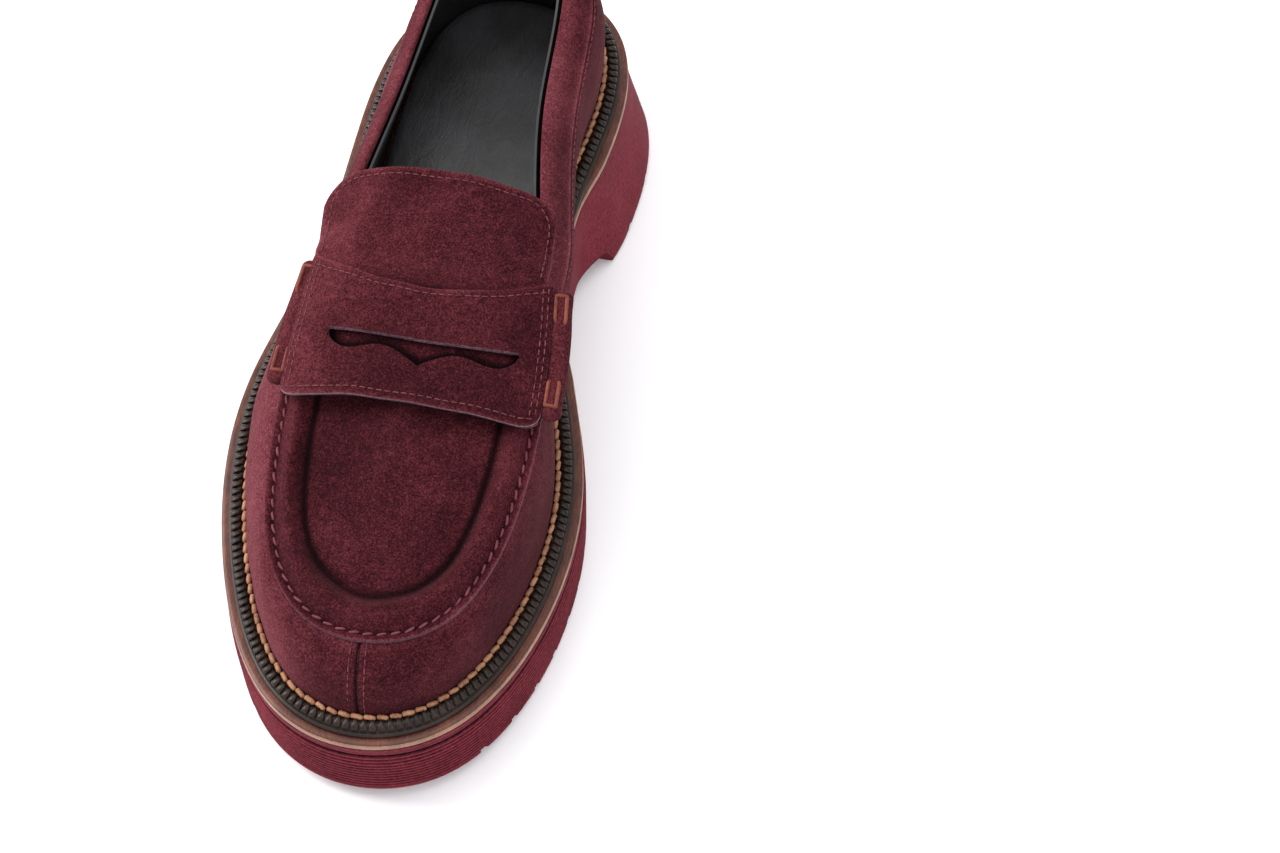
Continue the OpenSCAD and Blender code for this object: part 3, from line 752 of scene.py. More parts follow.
def buildWelt():
    size = weltSizes
    n = 640
    t = np.arange(n) * turns / n
    rise, inner, outer = size["ribHeight"], size["ribIn"], size["ribOut"]
    thick, ribTop = size["thick"], rise - size["toothDrop"]
    floor = rise - size["cordDrop"] - size["cordRadius"] - shoe["gap"]
    section = [(0.35, 0.1), (0.35, floor), (inner - 0.2, floor), (inner, floor + 0.3),
               (inner + 0.2, ribTop - 0.3), (inner + 0.6, ribTop), (outer - 1.6, ribTop - 0.1),
               (outer - 0.8, rise - 1.5), (outer - 0.1, thick + 1), (outer + 0.1, thick + 0.3),
               (outer + 0.35, thick), (outer + 1.2, thick), (outer + 1.45, thick - 0.25),
               (outer + 1.45, 0.1)]
    sections = np.stack([edgeAt(t, np.full(n, off), up) for off, up in section], 1)
    points, faces = loopBand(sections)
    band = addPiece("weltStrip", points, faces, ["weltBrown"], sharp=50)

    # One tooth: narrow towards the upper, broad and low towards the ledge
    stations = [(1.35, 0.42, 0.75), (1.1, 0.52, 1.3), (0.3, 0.72, 1.4), (-0.7, 0.94, 1.2),
                (-1.6, 1.12, 0.85), (-2.1, 1.1, 0.4)]
    base = ribTop - 0.6
    outlines = []
    for place, half, top in stations:
        high = base + top + 0.35
        outlines.append([(-half, place, base - 0.6), (-half, place, high - 0.3), (-half * 0.5, place, high),
                         (half * 0.5, place, high), (half, place, high - 0.3), (half, place, base - 0.6)])
    tooth = helperShape("weltTooth", *openBand(np.array(outlines)))
    line = edgeAt(t, np.full(n, size["toothLine"]), 0)
    teeth = addRow("weltTeeth", [(line, upAxis, True)], tooth, size["toothPitch"], "weltBrown",
                   unevenness=0.03, seed=4)
    stitch = stitchShape("weltStitch", size["cordPitch"], size["cordWidth"] / 2, 0.45, 1.5)
    cordLine = inner - size["cordRadius"] - shoe["gap"] + 0.15
    line = edgeAt(t, np.full(n, cordLine), rise - size["cordDrop"])
    cord = addRow("weltCordStitches", [(line, upAxis, True)], stitch, size["cordPitch"], "weltThread",
                  slant=-9, unevenness=0.06, seed=7)
    return band, teeth, cord


wallSizes = {
    "seamHalf": 0.006,                      # half the gap at a seam, in spline spans
    "seamRound": 0.8, "seamSink": 0.5,      # how far and how deep an edge rolls into its seam
    "grain": 0.22,                          # unevenness
    "lean": 0.66,                           # painted highlight: how much lighter the outer side is, the side that faces the key lamp
    "puffInner": 7.0, "puffOuter": 1.8,     # how far the sides stand out below the collar
}
quarterTop = 1 - shoe["collarWidth"] / (shoe["backHeight"] * 0.8)
liningDepth = shoe["suede"] + shoe["stiffener"] + 2 * shoe["gap"]


# How far the padded sides of the quarter stand out, most below the collar
def puff(t, h):
    t = np.asarray(t, float) % turns
    side = np.minimum(t, turns - t)
    amount = np.where(t < shoe["heelSeam"], wallSizes["puffInner"], wallSizes["puffOuter"])
    along = ease((side - 3.9) / 0.9) * (1 - ease((side - 6.9) / 1.3))
    return amount * along * ease(h / 0.72) * (1 - ease((h - 0.8) / 0.2))


# As wallAt, on the padded sides
def skinAt(t, h, depth):
    return wallAt(t, h, depth - puff(t, h))


# Panel between two places on the rim, its ends rolled down into the seams
def wallPanel(name, t0, t1, h1, rows):
    size = wallSizes
    t = np.linspace(t0, t1, rows)[:, None]
    h = np.linspace(0, 1, 44)[None] * h1
    outer = wallAt(t, h, 0 * t * h)
    sink = np.zeros(outer.shape[:2])
    for end in (0, -1):
        distance = np.linalg.norm(outer - outer[end][None], axis=-1)
        sink = np.maximum(sink, size["seamSink"] * np.clip(1 - distance / size["seamRound"], 0, 1) ** 2)
    bump = sway(outer, size["grain"], 31, t0) * ease(h * 6) * ease((h1 - h) * 8)
    top = skinAt(t, h, sink - bump)
    bottom = skinAt(t, h, np.full(sink.shape, shoe["suede"]))
    # Painted shade at the foot of the wall and in the seams
    crease = np.maximum(0.9 * ease(1 - h * 14) + 0 * t, 0.6 * sink / size["seamSink"])
    # Lighter towards the rim, and a painted highlight on the outer side, which faces the key lamp
    wear = 0.4 * ease((h - 0.75) * 4) + size["lean"] * ease(-wallNormal(t, h)[..., 0])
    return addSheet(name, top, bottom, ["suede", "suedeCut"], {"crease": crease, "wear": wear})


def buildWalls():
    half, throat, heel = wallSizes["seamHalf"], shoe["throat"], shoe["heelSeam"]
    top = quarterTop + 0.01
    return {
        "vamp_medial": wallPanel("vampMedialSuede", half, throat - half, 1, 150),
        "vamp_lateral": wallPanel("vampLateralSuede", half - throat, -half, 1, 150),
        "quarter_medial": wallPanel("quarterMedialSuede", throat + half, heel - half, top, 160),
        "quarter_lateral": wallPanel("quarterLateralSuede", heel + half, turns - throat - half, top, 160),
    }


def buildBackstay():
    t = np.linspace(shoe["heelSeam"] - backstayHalf, shoe["heelSeam"] + backstayHalf, 28)[:, None]
    h = np.linspace(0.06, quarterTop - 0.005, 60)[None]
    side = np.abs(t - shoe["heelSeam"]) / backstayHalf + 0 * h
    rise = np.minimum(1.25, 4 * np.sqrt(np.clip(1 - side, 0, 1)) + 0.75)
    top = wallAt(t, h, -rise)
    bottom = wallAt(t, h, np.full(rise.shape, -shoe["gap"]))
    return addSheet("backstaySuede", top, bottom, ["suede", "suedeCut"],
                    {"wear": 0.5 * side ** 6, "crease": 0 * side}, bevel=0.25)


# Lining of a wall; bulge is how far the padded band pushes it in
def liningSheet(name, t0, t1, h1, rows, bulge=0.0):
    t = np.linspace(t0, t1, rows)[:, None]
    h = np.linspace(0.03, h1, 40)[None]
    lift = bulge * ease((h - (quarterTop - 0.04)) / 0.05)
    depth = liningDepth + lift + 0 * t
    top = wallAt(t, h, depth)
    bottom = wallAt(t, h, depth + shoe["lining"])
    return addSheet(name, top, bottom, ["liningLeather"])


collarSizes = {"foldThick": 0.9, "bulge": 0.7, "rows": 240, "endGap": 0.008, "foamEndGap": 0.08}


# A section, as (inwards, share of the way down), carried round the topline from throat to throat
def collarGrid(section, rows, endGap):
    t = np.linspace(shoe["throat"] + endGap, turns - shoe["throat"] - endGap, rows)
    top, low = wallAt(t, 1 + 0 * t, 0 * t), skinAt(t, quarterTop + 0 * t, 0 * t)
    reach = np.linalg.norm(low - top, axis=-1)[:, None]
    down = (low - top) / reach
    along = unit(wallFace(t + tiny, 1 + 0 * t) - wallFace(t - tiny, 1 + 0 * t))
    inward = unit(np.cross(along, -upAxis))
    return np.stack([top + inward * s + down * d * reach for s, d in section], 1)


def buildCollar():
    size = collarSizes
    fold = size["foldThick"]
    inside = shoe["collarFoam"] + 2 * shoe["gap"] + 2 * fold
    b = size["bulge"]
    section = [(inside - fold, 1.0), (inside, 1.0), (inside + 0.1, 0.7), (inside + 0.1, 0.35),
               (inside - 0.2, 0.14), (inside - 1.0, 0.02), (inside / 2, -0.03), (1.0, 0.02), (0.1, 0.14),
               (-b * 0.8, 0.34), (-b, 0.55), (-b * 0.9, 0.8), (-0.35, 0.97), (-0.1, 1.03),
               (fold - 0.2, 1.03), (fold, 0.95), (fold, 0.25), (inside - fold, 0.25)]
    sections = collarGrid(section, size["rows"], size["endGap"])
    points, faces = openBand(sections)
    # Lighter over the top and along the outer edge above the seam, wear and painted highlight; painted shade
    # in the seam below that edge
    wear = [0, 0, 0, 0.1, 0.3, 0.5, 0.6, 0.6, 0.5, 0.3, 0.2, 0.3, 0.8, 1, 0, 0, 0, 0]
    crease = [0] * 13 + [0.2, 0.8, 0, 0, 0]
    marks = {"wear": np.tile(wear, len(sections)), "crease": np.tile(crease, len(sections))}
    collar = addPiece("toplineCollar", points, faces, ["suede"], marks=marks, sharp=70)
    modifier = collar.modifiers.new("smooth", "SUBSURF")
    modifier.levels = modifier.render_levels = 1
    collar = plain(collar)
    pad = [(fold + 0.2, 0.93), (fold + 0.1, 0.5), (fold + 0.25, 0.3), (inside / 2, 0.27),
           (inside - fold - 0.25, 0.3), (inside - fold - 0.1, 0.5), (inside - fold - 0.2, 0.93),
           (inside / 2, 0.95)]
    points, faces = openBand(collarGrid(pad, 160, size["foamEndGap"]))
    foam = addPiece("collarFoamStrip", points, faces, ["collarFoam"], sharp=60)
    return collar, foam


apronSizes = {
    "end": 4.2,                                 # where it ends under the strap, in spline spans
    "ridgeFront": 15.5, "ridgeSide": 12.6,      # seam to crease, at the toe and along the sides
    "ridgeHeight": 4.5, "crown": 10,
    "lip": 2.2, "channel": 0.4,                 # sewn channel: its place in from the edge, and its depth
    "creaseDepth": 0.6, "grow": 1.0,
    "rows": 300, "columns": 84,
}


# 0 at the toe, 1 along the sides
def sideShare(t):
    return ease((np.abs(t) - 0.8) / 1.2)


def ridgeWidth(t):
    return mix(apronSizes["ridgeFront"], apronSizes["ridgeSide"], sideShare(t))


# Height of the ridge at a distance d from the seam, less the sewn channel and the dip at the crease
def ridgeShape(d, t):
    size = apronSizes
    width = ridgeWidth(t)
    rise = ease((d - size["lip"]) / 5.0)
    fall = 1 - ease((d - width * 0.58) / (width * 0.42))
    channel = size["channel"] * np.exp(-((d - size["lip"] - 0.3) / 0.6) ** 2)
    crease = size["creaseDepth"] * np.exp(-((d - width) / 1.1) ** 2)
    return size["ridgeHeight"] * rise * fall - channel - crease


# Shortest distance in plan from points to the apron's seam
def seamDistance(points):
    t = np.linspace(-5, 5, 900)
    line = (spline(rimPoints, t) + outward(rimPoints, t) * apronSizes["grow"])[:, :2]
    flat = points[..., :2].reshape(-1, 2)
    rows = [np.min(np.linalg.norm(part[:, None] - line[None], axis=-1), axis=1)
            for part in np.array_split(flat, 60)]
    return np.concatenate(rows).reshape(points.shape[:-1])


# Underside of the apron: t along the rim, s from the seam (0) to the centre line (1)
def apronFace(t, s):
    size = apronSizes
    t, s = np.broadcast_arrays(np.asarray(t, float), np.asarray(s, float))
    seam = spline(rimPoints, t) + outward(rimPoints, t) * size["grow"]
    front = spline(rimPoints, 0.0)[1]
    back = spline(rimPoints, size["end"])[1]
    k = (seam[..., 1] - front) / (back - front)
    middle = (spline(rimPoints, np.abs(t))[..., 2] + spline(rimPoints, -np.abs(t))[..., 2]) / 2
    spine = np.stack([mix(2, 5, k), mix(front + size["ridgeFront"] + 3, back - 14, k),
                      middle + size["crown"] * ease(k * 2.2)], -1)
    p = mix(seam, spine, s[..., None])
    d = s * np.linalg.norm((spine - seam)[..., :2], axis=-1)
    d = mix(d, seamDistance(p), ease((d - 3) / 4))
    fade = 1 - 0.3 * ease((np.abs(t) - 2.6) / 0.8)
    shape = ridgeShape(d, t) * fade
    z = mix(seam[..., 2], spine[..., 2], ease(s * 0.62) / float(ease(0.62))) + shape + 0.3
    return np.stack([p[..., 0], p[..., 1], z], -1), d


def buildApron():
    size = apronSizes
    t = np.linspace(-size["end"], size["end"], size["rows"])[:, None]
    s = np.linspace(0, 1, size["columns"])[None] ** 1.15
    low, d = apronFace(t, s)
    low[:, -1] = (low[:, -1] + low[::-1, -1]) / 2
    grain = sway(low, 0.3, 27, 2.0) * ease(d / 9)
    top = low + upAxis * (shoe["suede"] + grain)[..., None]
    width = ridgeWidth(t)
    spread, depth = mix(1.9, 1.0, sideShare(t)), mix(0.55, 1.0, sideShare(t))
    # Painted shade along the crease inside the ridge, and in the sewn channel
    crease = depth * np.exp(-((d - width) / spread) ** 2)
    crease = crease + 0.4 * np.exp(-((d - size["lip"] - 0.3) / 0.6) ** 2)
    # A painted highlight along the ridge's top; the cut edge at the seam is lighter
    wear = 0.15 * np.exp(-((d - 6.5) / 2.6) ** 2) + 0.5 * np.exp(-(d / 0.6) ** 2)
    apron = addSheet("apronSuede", top, low, ["suede", "suedeCut"], {"crease": crease, "wear": wear},
                     welded=("high",), sharp=60)
    weld(apron)
    low, d = apronFace(t, mix(0.04, 1.0, s))
    low[:, -1] = (low[:, -1] + low[::-1, -1]) / 2
    low = low - upAxis * (2 * shoe["gap"])
    lining = addSheet("apronLiningLeather", low, low - upAxis * shoe["lining"], ["liningLeather"],
                      welded=("high",), sharp=60)
    weld(lining)
    return apron, lining


def weld(piece):
    form = bmesh.new()
    form.from_mesh(piece.data)
    bmesh.ops.remove_doubles(form, verts=form.verts, dist=0.002 * mm)
    bmesh.ops.dissolve_degenerate(form, dist=0.002 * mm, edges=form.edges)
    form.to_mesh(piece.data)
    form.free()


strapSizes = {
    "front": 61,              # front edge's place, forward of the origin
    "width": 48,
    "dip": 12.5,              # how far the back edge bows forward
    "corner": 7,
    "over": 9.2, "hump": 17,  # height over the rim, at the ends and in the middle
    "rollFlat": 0.84,
    "slotLength": 62, "slotDepth": 8, "slotX": 2,
    "slotV": 0.5,             # slot's back edge, as a share of the width
    "backing": 0.8,           # thickness of the backing
    "hollow": 1.2,            # how far the backing sinks under the slot
}
# Places past the rim and sizes at the strap's ends, front and back, on the outer (-1) and inner (1) side
strapEnds = {
    "edge": {-1: (0.6, -0.4), 1: (1.2, 2.2)},
    "axis": {-1: (2.6, 0.6), 1: (3.8, 4.8)},
    "height": {-1: (5.6, 5.2), 1: (5.6, 5.6)},
    "radius": {-1: (3.8, 3.0), 1: (3.8, 3.8)},
}


def atEnd(what, side, v):
    front, back = strapEnds[what][side]
    return mix(front, back, np.clip(v, 0, 1))


def strapEnd(side, v):
    return rimAt(-strapSizes["front"] + strapSizes["width"] * np.asarray(v, float), side)


# Top of the strap: u from the outer end (-1) to the inner end (1), v from front to back
def strapFace(u, v, up=0.0):
    size = strapSizes
    u, v = np.broadcast_arrays(np.asarray(u, float), np.asarray(v, float))
    a, b = spline(rimPoints, strapEnd(-1, v)), spline(rimPoints, strapEnd(1, v))
    aside = np.array([1.0, 0.0, 0.0])
    p = mix(a - aside * atEnd("edge", -1, v)[..., None], b + aside * atEnd("edge", 1, v)[..., None],
            ((u + 1) / 2)[..., None])
    middle = (a[..., 2] + b[..., 2]) / 2 + size["hump"]
    near = np.clip(size["corner"] - (1 - np.abs(u)) * np.abs(b - a)[..., 0] / 2, 0, size["corner"])
    cut = (size["corner"] - np.sqrt(size["corner"] ** 2 - near ** 2)) * np.clip(1 - v / 0.25, 0, 1) * 0.8
    dip = size["dip"] * np.clip(v, 0, 1) ** 1.6
    return np.stack([p[..., 0], p[..., 1] + cut - dip * (1 - u * u),
                     mix(middle, p[..., 2] + size["over"], np.abs(u) ** 2.6) + up], -1)


# Outline of the slot's front edge: a point in the middle, a hump and a lobe on each side
def slotDepth(a):
    size, a = strapSizes["slotDepth"], np.abs(a)
    point = size * mix(1, 0.44, ease(0.5 + a / 0.84) * 2 - 1)
    hump = size * mix(0.44, 0.72, ease((a - 0.42) / 0.36))
    lobe = size * 0.72 * np.sqrt(np.clip(1 - ((a - 0.78) / 0.22) ** 2, 0, 1))
    return np.where(a < 0.42, point, np.where(a < 0.78, hump, np.where(a <= 1, lobe, 0)))


def strapGrain(points):
    return sway(points, 0.28, 26, 1.0)


def buildStrap():
    size = strapSizes
    edge = strapFace(np.array([-1.0, 1.0]), size["slotV"])
    half = (edge[1, 0] - edge[0, 0]) / 2
    lobe = 0.78 + 0.22 * np.sin(np.linspace(0, math.pi / 2, 12))
    inner = np.unique(np.concatenate([np.linspace(0, 0.78, 36), lobe]))
    inside = np.concatenate([-inner[::-1], inner[1:]])
    columns = (inside * size["slotLength"] / 2 + size["slotX"]) / half
    u = np.concatenate([np.linspace(-1, columns[0], 16)[:-1], columns, np.linspace(columns[-1], 1, 16)[1:]])
    a = (u * half - size["slotX"]) / (size["slotLength"] / 2)
    opened = np.abs(a) < 1 - 1e-9
    depth = slotDepth(np.clip(a, -1, 1)) * opened
    reach = size["width"] - size["dip"] * (1 - u * u)
    front = size["slotV"] - depth / reach
    share = np.linspace(0, 1, 26)
    parts, base = [], 0
    points, faces, kinds, wearAndHighlights = [], [], [], []
    grids = [share[:, None] * front[None], mix(size["slotV"], 1, share)[:, None] + 0 * u[None]]
    for v in grids:
        top = strapFace(u[None], v)
        lip = np.exp(-((v - size["slotV"]) * size["width"] / 5) ** 2) * (np.abs(a[None]) < 1)
        lift = strapGrain(top) - 0.35 * lip * (v < size["slotV"] - 1e-6)
        top = top + upAxis * lift[..., None]
        rows, cols = top.shape[:2]
        f, k = sheetFaces(rows, cols, welded=("start", "end"))
        parts.append((base, rows, cols))
        skive = 0.9 * (1 - ease(v * size["width"] / 3))
        bottom = top - upAxis * (shoe["suede"] - skive)[..., None]
        points += [top.reshape(-1, 3), bottom.reshape(-1, 3)]
        faces += [tuple(i + base for i in face) for face in f]
        kinds += k
        # Lighter along the front and back edges, and a painted highlight on the outer half, which faces the
        # key lamp
        edgeWearAndHighlight = 0.4 * np.exp(-(np.minimum(v, 1 - v) * size["width"] / 0.8) ** 2)
        edgeWearAndHighlight = edgeWearAndHighlight + 0.3 * ease(-u[None] - 0.1)
        wearAndHighlights += [edgeWearAndHighlight.ravel()] * 2
        base += 2 * rows * cols
    # Edge strips of the outer ends, and of the slot, where the two halves part
    for part, (start, rows, cols) in enumerate(parts):
        for row, isSlot in ((0, part == 1), (rows - 1, part == 0)):
            for j in range(cols - 1):
                if isSlot and not (opened[j] or opened[j + 1]):
                    continue
                p, q = start + row * cols + j, start + row * cols + j + 1
                quad = (p, q, q + rows * cols, p + rows * cols)
                faces.append(quad if row == 0 else tuple(reversed(quad)))
                kinds.append(1)
    marks = {"wear": np.concatenate(wearAndHighlights)}
    # Edge faces take the lighter rim copy of the suede, a painted highlight
    strap = addPiece("saddleStrapSuede", np.concatenate(points), faces, ["suede", "suedeRim"], kinds,
                     marks, 50)
    weld(strap)
    fixNormals(strap.data)
    return strap, buildBacking(half)


# Leather behind the strap, in a darker copy of the suede as painted shade, with painted shadow just inside the
# slot's outline
def buildBacking(half):
    size = strapSizes
    v = np.linspace(0.02, 0.985, 130)[:, None]
    u = np.linspace(-0.985, 0.985, 170)[None]
    low = strapFace(u, v, -shoe["suede"] - shoe["gap"])
    hollow = size["hollow"] * ease((0.2 - np.abs(v - size["slotV"] + 0.08)) / 0.08)
    hollow = hollow * ease((0.95 - np.abs(u)) / 0.1)
    low = low + upAxis * (sway(low, 0.2, 26, 1.0) - 0.35 - hollow)[..., None]
    a = (u * half - size["slotX"]) / (size["slotLength"] / 2)
    reach = size["width"] - size["dip"] * (1 - u * u) / 3
    front = np.maximum(0, (v - size["slotV"]) * reach + slotDepth(np.clip(a, -1, 1)))
    back = np.maximum(0, (size["slotV"] - v) * reach)
    side = np.maximum(0, 1 - np.abs(a)) * size["slotLength"] / 2
    # Painted shadow: darkest just behind the slot's front edge and at its ends, a little under its back edge
    shade = (1.5 * np.exp(-(front / 2.4) ** 2) + 0.2 * np.exp(-(back / 0.8) ** 2)
             + 0.8 * np.exp(-(side / 1.6) ** 2))
    return addSheet("saddleBackingLeather", low, low - upAxis * size["backing"],
                    ["suedeShade", "backingEdge"], {"crease": shade})


# Middle line of a rolled end
def rollAxis(side, v):
    aside = np.array([side, 0.0, 0.0])
    return (spline(rimPoints, strapEnd(side, v)) + aside * atEnd("axis", side, v)[..., None]
            + upAxis * atEnd("height", side, v)[..., None])


tackSizes = {
    "places": (0.19, 0.93),   # along the roll, front and back
    "legLength": 8.5, "radius": 0.62, "twist": 1.9,
    "spread": 26,             # legs' angle off the roll's top
}


# Rolled end of the strap, pinched where the tacks hold it
def buildRoll(name, side):
    size = strapSizes
    ends = [0.125, 0.128, 0.135, 0.15], [0.98, 0.99, 0.997, 1.0]
    v = np.concatenate([ends[0], np.linspace(0.165, 0.965, 70), ends[1]])
    sides = 28
    path = rollAxis(side, v)
    distance = np.minimum(v - v[0], v[-1] - v) * size["width"]
    rounding = np.clip(1 - np.clip(1 - distance / 2.6, 0, 1) ** 2, 0.02, 1)
    radius = atEnd("radius", side, v) * np.sqrt(rounding)
    for place in tackSizes["places"]:
        legs = place + (0.5 if place < 0.5 else -0.5) * tackSizes["legLength"] / size["width"]
        radius = radius * (1 - 0.07 * np.exp(-((v - legs) * size["width"] / 4.5) ** 2))
    points, faces = openBand(cordSections(path, radius, sides, flat=size["rollFlat"]))
    points = points + upAxis * sway(points, 0.2, 14, side)[..., None]
    angle = np.tile(np.arange(sides) * 2 * math.pi / sides, len(v))
    # Painted highlight along the top of the roll and painted shade along its underside
    marks = {"wear": 0.3 * ease(np.cos(angle)), "crease": 0.7 * ease(-np.cos(angle))}
    return addPiece(name, points, faces, ["suede"], marks=marks, sharp=70)


# Two legs along the roll joined by a bar across its end, in heavy two-ply thread
def tackLines(side, place):
    size = strapSizes
    toMiddle = 1 if place < 0.5 else -1
    legV = place + toMiddle * np.linspace(1, 0, 14) * tackSizes["legLength"] / size["width"]
    spread = math.radians(tackSizes["spread"])
    ring = [(v, -spread) for v in legV] + [(place, a) for a in np.linspace(-spread, spread, 12)[1:-1]]
    ring += [(v, spread) for v in legV[::-1]]
    v, angle = np.array(ring).T
    lift = atEnd("radius", side, v) + tackSizes["radius"] * 0.35
    sink = np.zeros(len(v))
    sink[[0, -1]], sink[[1, -2]] = 1.1, 0.35
    outwards = np.stack([np.sin(angle), 0 * v, np.cos(angle) * size["rollFlat"]], -1)
    return rollAxis(side, v) + (lift - sink)[:, None] * outwards


def buildTacks():
    size = tackSizes
    points, faces, base = [], [], 0
    for side in (-1, 1):
        for place in size["places"]:
            path = tackLines(side, place)
            fine = np.linspace(0, len(path) - 1, 130)
            path = np.stack([np.interp(fine, np.arange(len(path)), path[:, k]) for k in range(3)], -1)
            p, f = openBand(cordSections(path, size["radius"], 10, 2, size["twist"]))
            points.append(p)
            faces += [tuple(i + base for i in face) for face in f]
            base += len(p)
    return addPiece("saddleTackThreads", np.concatenate(points), faces, ["tackThread"], sharp=80)


tongueSizes = {
    "length": 28, "width": 77, "corner": 10,
    "rise": 9,                            # how far the free edge stands over the fold
    "gapBehindStrap": 1.2, "below": 3,    # the fold's place behind and below the strap's back edge
    "tucked": 3.3, "heldShare": 0.88,     # the part held under the strap: its depth and its share of the width
    "wingRoot": 5.4, "wingRest": 0.9,     # height of its sides over the rim, at the fold and behind it
}
hingeZ = float(strapFace(0.0, 1.0)[2]) - tongueSizes["below"]
hingeY = float(strapFace(1.0, 1.0)[1]) + tongueSizes["gapBehindStrap"]


# Top of the tongue: u across, w from the root (0) to the free edge (1)
def tongueFace(u, w, up=0.0):
    size = tongueSizes
    u, w = np.broadcast_arrays(np.asarray(u, float), np.asarray(w, float))
    half = size["width"] / 2
    corner = np.maximum(0, np.abs(u) * half - (half - size["corner"]))
    cut = size["corner"] - np.sqrt(np.maximum(0, size["corner"] ** 2 - corner ** 2))
    y = hingeY + (size["length"] - cut * (w > 0)) * w
    line = hingeY + size["length"] * w
    a, b = spline(rimPoints, rimAt(line, -1)), spline(rimPoints, rimAt(line, 1))
    wing = mix(size["wingRoot"], size["wingRest"], ease(w / 0.45))
    sideZ = mix(a[..., 2], b[..., 2], (u + 1) / 2) + shoe["suede"] + shoe["lining"] + wing
    middle = hingeZ + size["rise"] * w
    z = mix(middle, np.minimum(sideZ, middle), np.abs(u) ** 2.4)
    return np.stack([(a[..., 0] + b[..., 0]) / 2 + u * half, y, z + up], -1)


def tongueGrain(points, w):
    return sway(points, 0.35, 30, 4.0) * ease(w * 5)


def buildTongue():
    size = tongueSizes
    w = np.linspace(0, 1, 44)[:, None]
    even = np.linspace(-1, 1, 110)
    u = np.sin(even * math.pi / 2)[None] * 0.5 + even[None] * 0.5   # closer columns at the sides
    free = tongueFace(u, w)
    grain = tongueGrain(free, w)
    free = free + upAxis * grain[..., None]
    # The part held under the strap, and the bridge from there to the fold
    heldV, steps, stepLength = np.array([[0.86], [0.92], [0.97]]), 8, 1.5
    held = strapFace(u * size["heldShare"], heldV, -size["tucked"])
    edge = strapFace(u * size["heldShare"], 1.0, -size["tucked"])
    bridge = mix(edge, free[:1], (np.arange(steps) / steps)[:, None, None])
    top = np.concatenate([held, bridge, free])
    reach = np.concatenate([np.full(len(heldV), -9.0), np.arange(steps) * stepLength,
                            steps * stepLength + w[:, 0] * size["length"]])[:, None]
    border = np.concatenate([np.full((len(heldV) + steps, 1), size["length"]), (1 - w) * size["length"]])
    border = np.minimum((1 - np.abs(u)) * size["width"] / 2, border)
    # Lighter along the free edges, and a painted highlight on the outer half, which faces the key lamp
    wear = 0.45 * np.exp(-(border / 0.8) ** 2) + 0.35 * ease(-u - 0.1)
    # Painted shadow just behind the strap's back edge
    crease = 0.7 * np.exp(-(reach / 2.5) ** 2) + 0 * u
    tongue = addSheet("tongueSuede", top, top - upAxis * shoe["suede"], ["suede", "suedeCut"],
                      {"wear": wear, "crease": crease})
    low = tongueFace(u * 0.972, w * 0.972, -shoe["suede"] - shoe["gap"])
    low = low + upAxis * grain[..., None]
    lining = addSheet("tongueLiningLeather", low, low - upAxis * shoe["lining"], ["liningLeather"])
    return tongue, lining


sockSizes = {"foamUp": 5.3, "sockUp": 7.7, "inset": 2.8}   # undersides over the deck, room to the lining


# Closed solid from levels of (distance off the upper's bottom edge, height above the deck)
def levelSolid(levels, n):
    t = (np.arange(n) + 0.5) * turns / n
    return ringSolid(np.array([edgeAt(t, np.full(n, off), up) for off, up in levels]))


def buildSock():
    n = 360
    inner = -(shoe["suede"] + shoe["stiffener"] + shoe["lining"] + sockSizes["inset"])
    foamUp, sockUp = sockSizes["foamUp"], sockSizes["sockUp"]
    levels = [(inner - 0.2, sockUp), (inner - 0.15, sockUp + 0.7), (inner - 0.6, sockUp + 1.0),
              (inner - 3, sockUp + 0.95), (inner - 7, sockUp + 0.8), (inner - 12, sockUp + 0.7)]
    points, faces = levelSolid(levels, n)
    sock = addPiece("sockLeatherCover", points, faces, ["sockLeather"], sharp=60)
    levels = [(inner - 0.6, foamUp), (inner - 0.3, foamUp + 0.6), (inner - 0.3, foamUp + 1.6),
              (inner - 0.7, foamUp + 2.15), (inner - 5, foamUp + 2.15)]
    points, faces = levelSolid(levels, n)
    foam = addPiece("footbedFoamPad", points, faces, ["foam"], sharp=60)
    return sock, foam


stitchSizes = {
    "seamPitch": 4.4, "seamRadius": 0.46,   # thick hand-sewn seam round the apron
    "finePitch": 2.7, "fineRadius": 0.2,    # machine rows
    "seamInset": 2.5, "tongueInset": 2.3,   # rows in from an edge
    "toeRows": 0.095,                       # rows beside the toe seam, in spline spans
}


# Upright direction of a surface at (a, b)
def faceLean(face, a, b):
    step = 0.004
    across = face(a + step, b) - face(a - step, b)
    along = face(a, b + step) - face(a, b - step)
    lean = unit(np.cross(across, along))
    return np.where(lean[..., 2:3] < 0, -lean, lean)


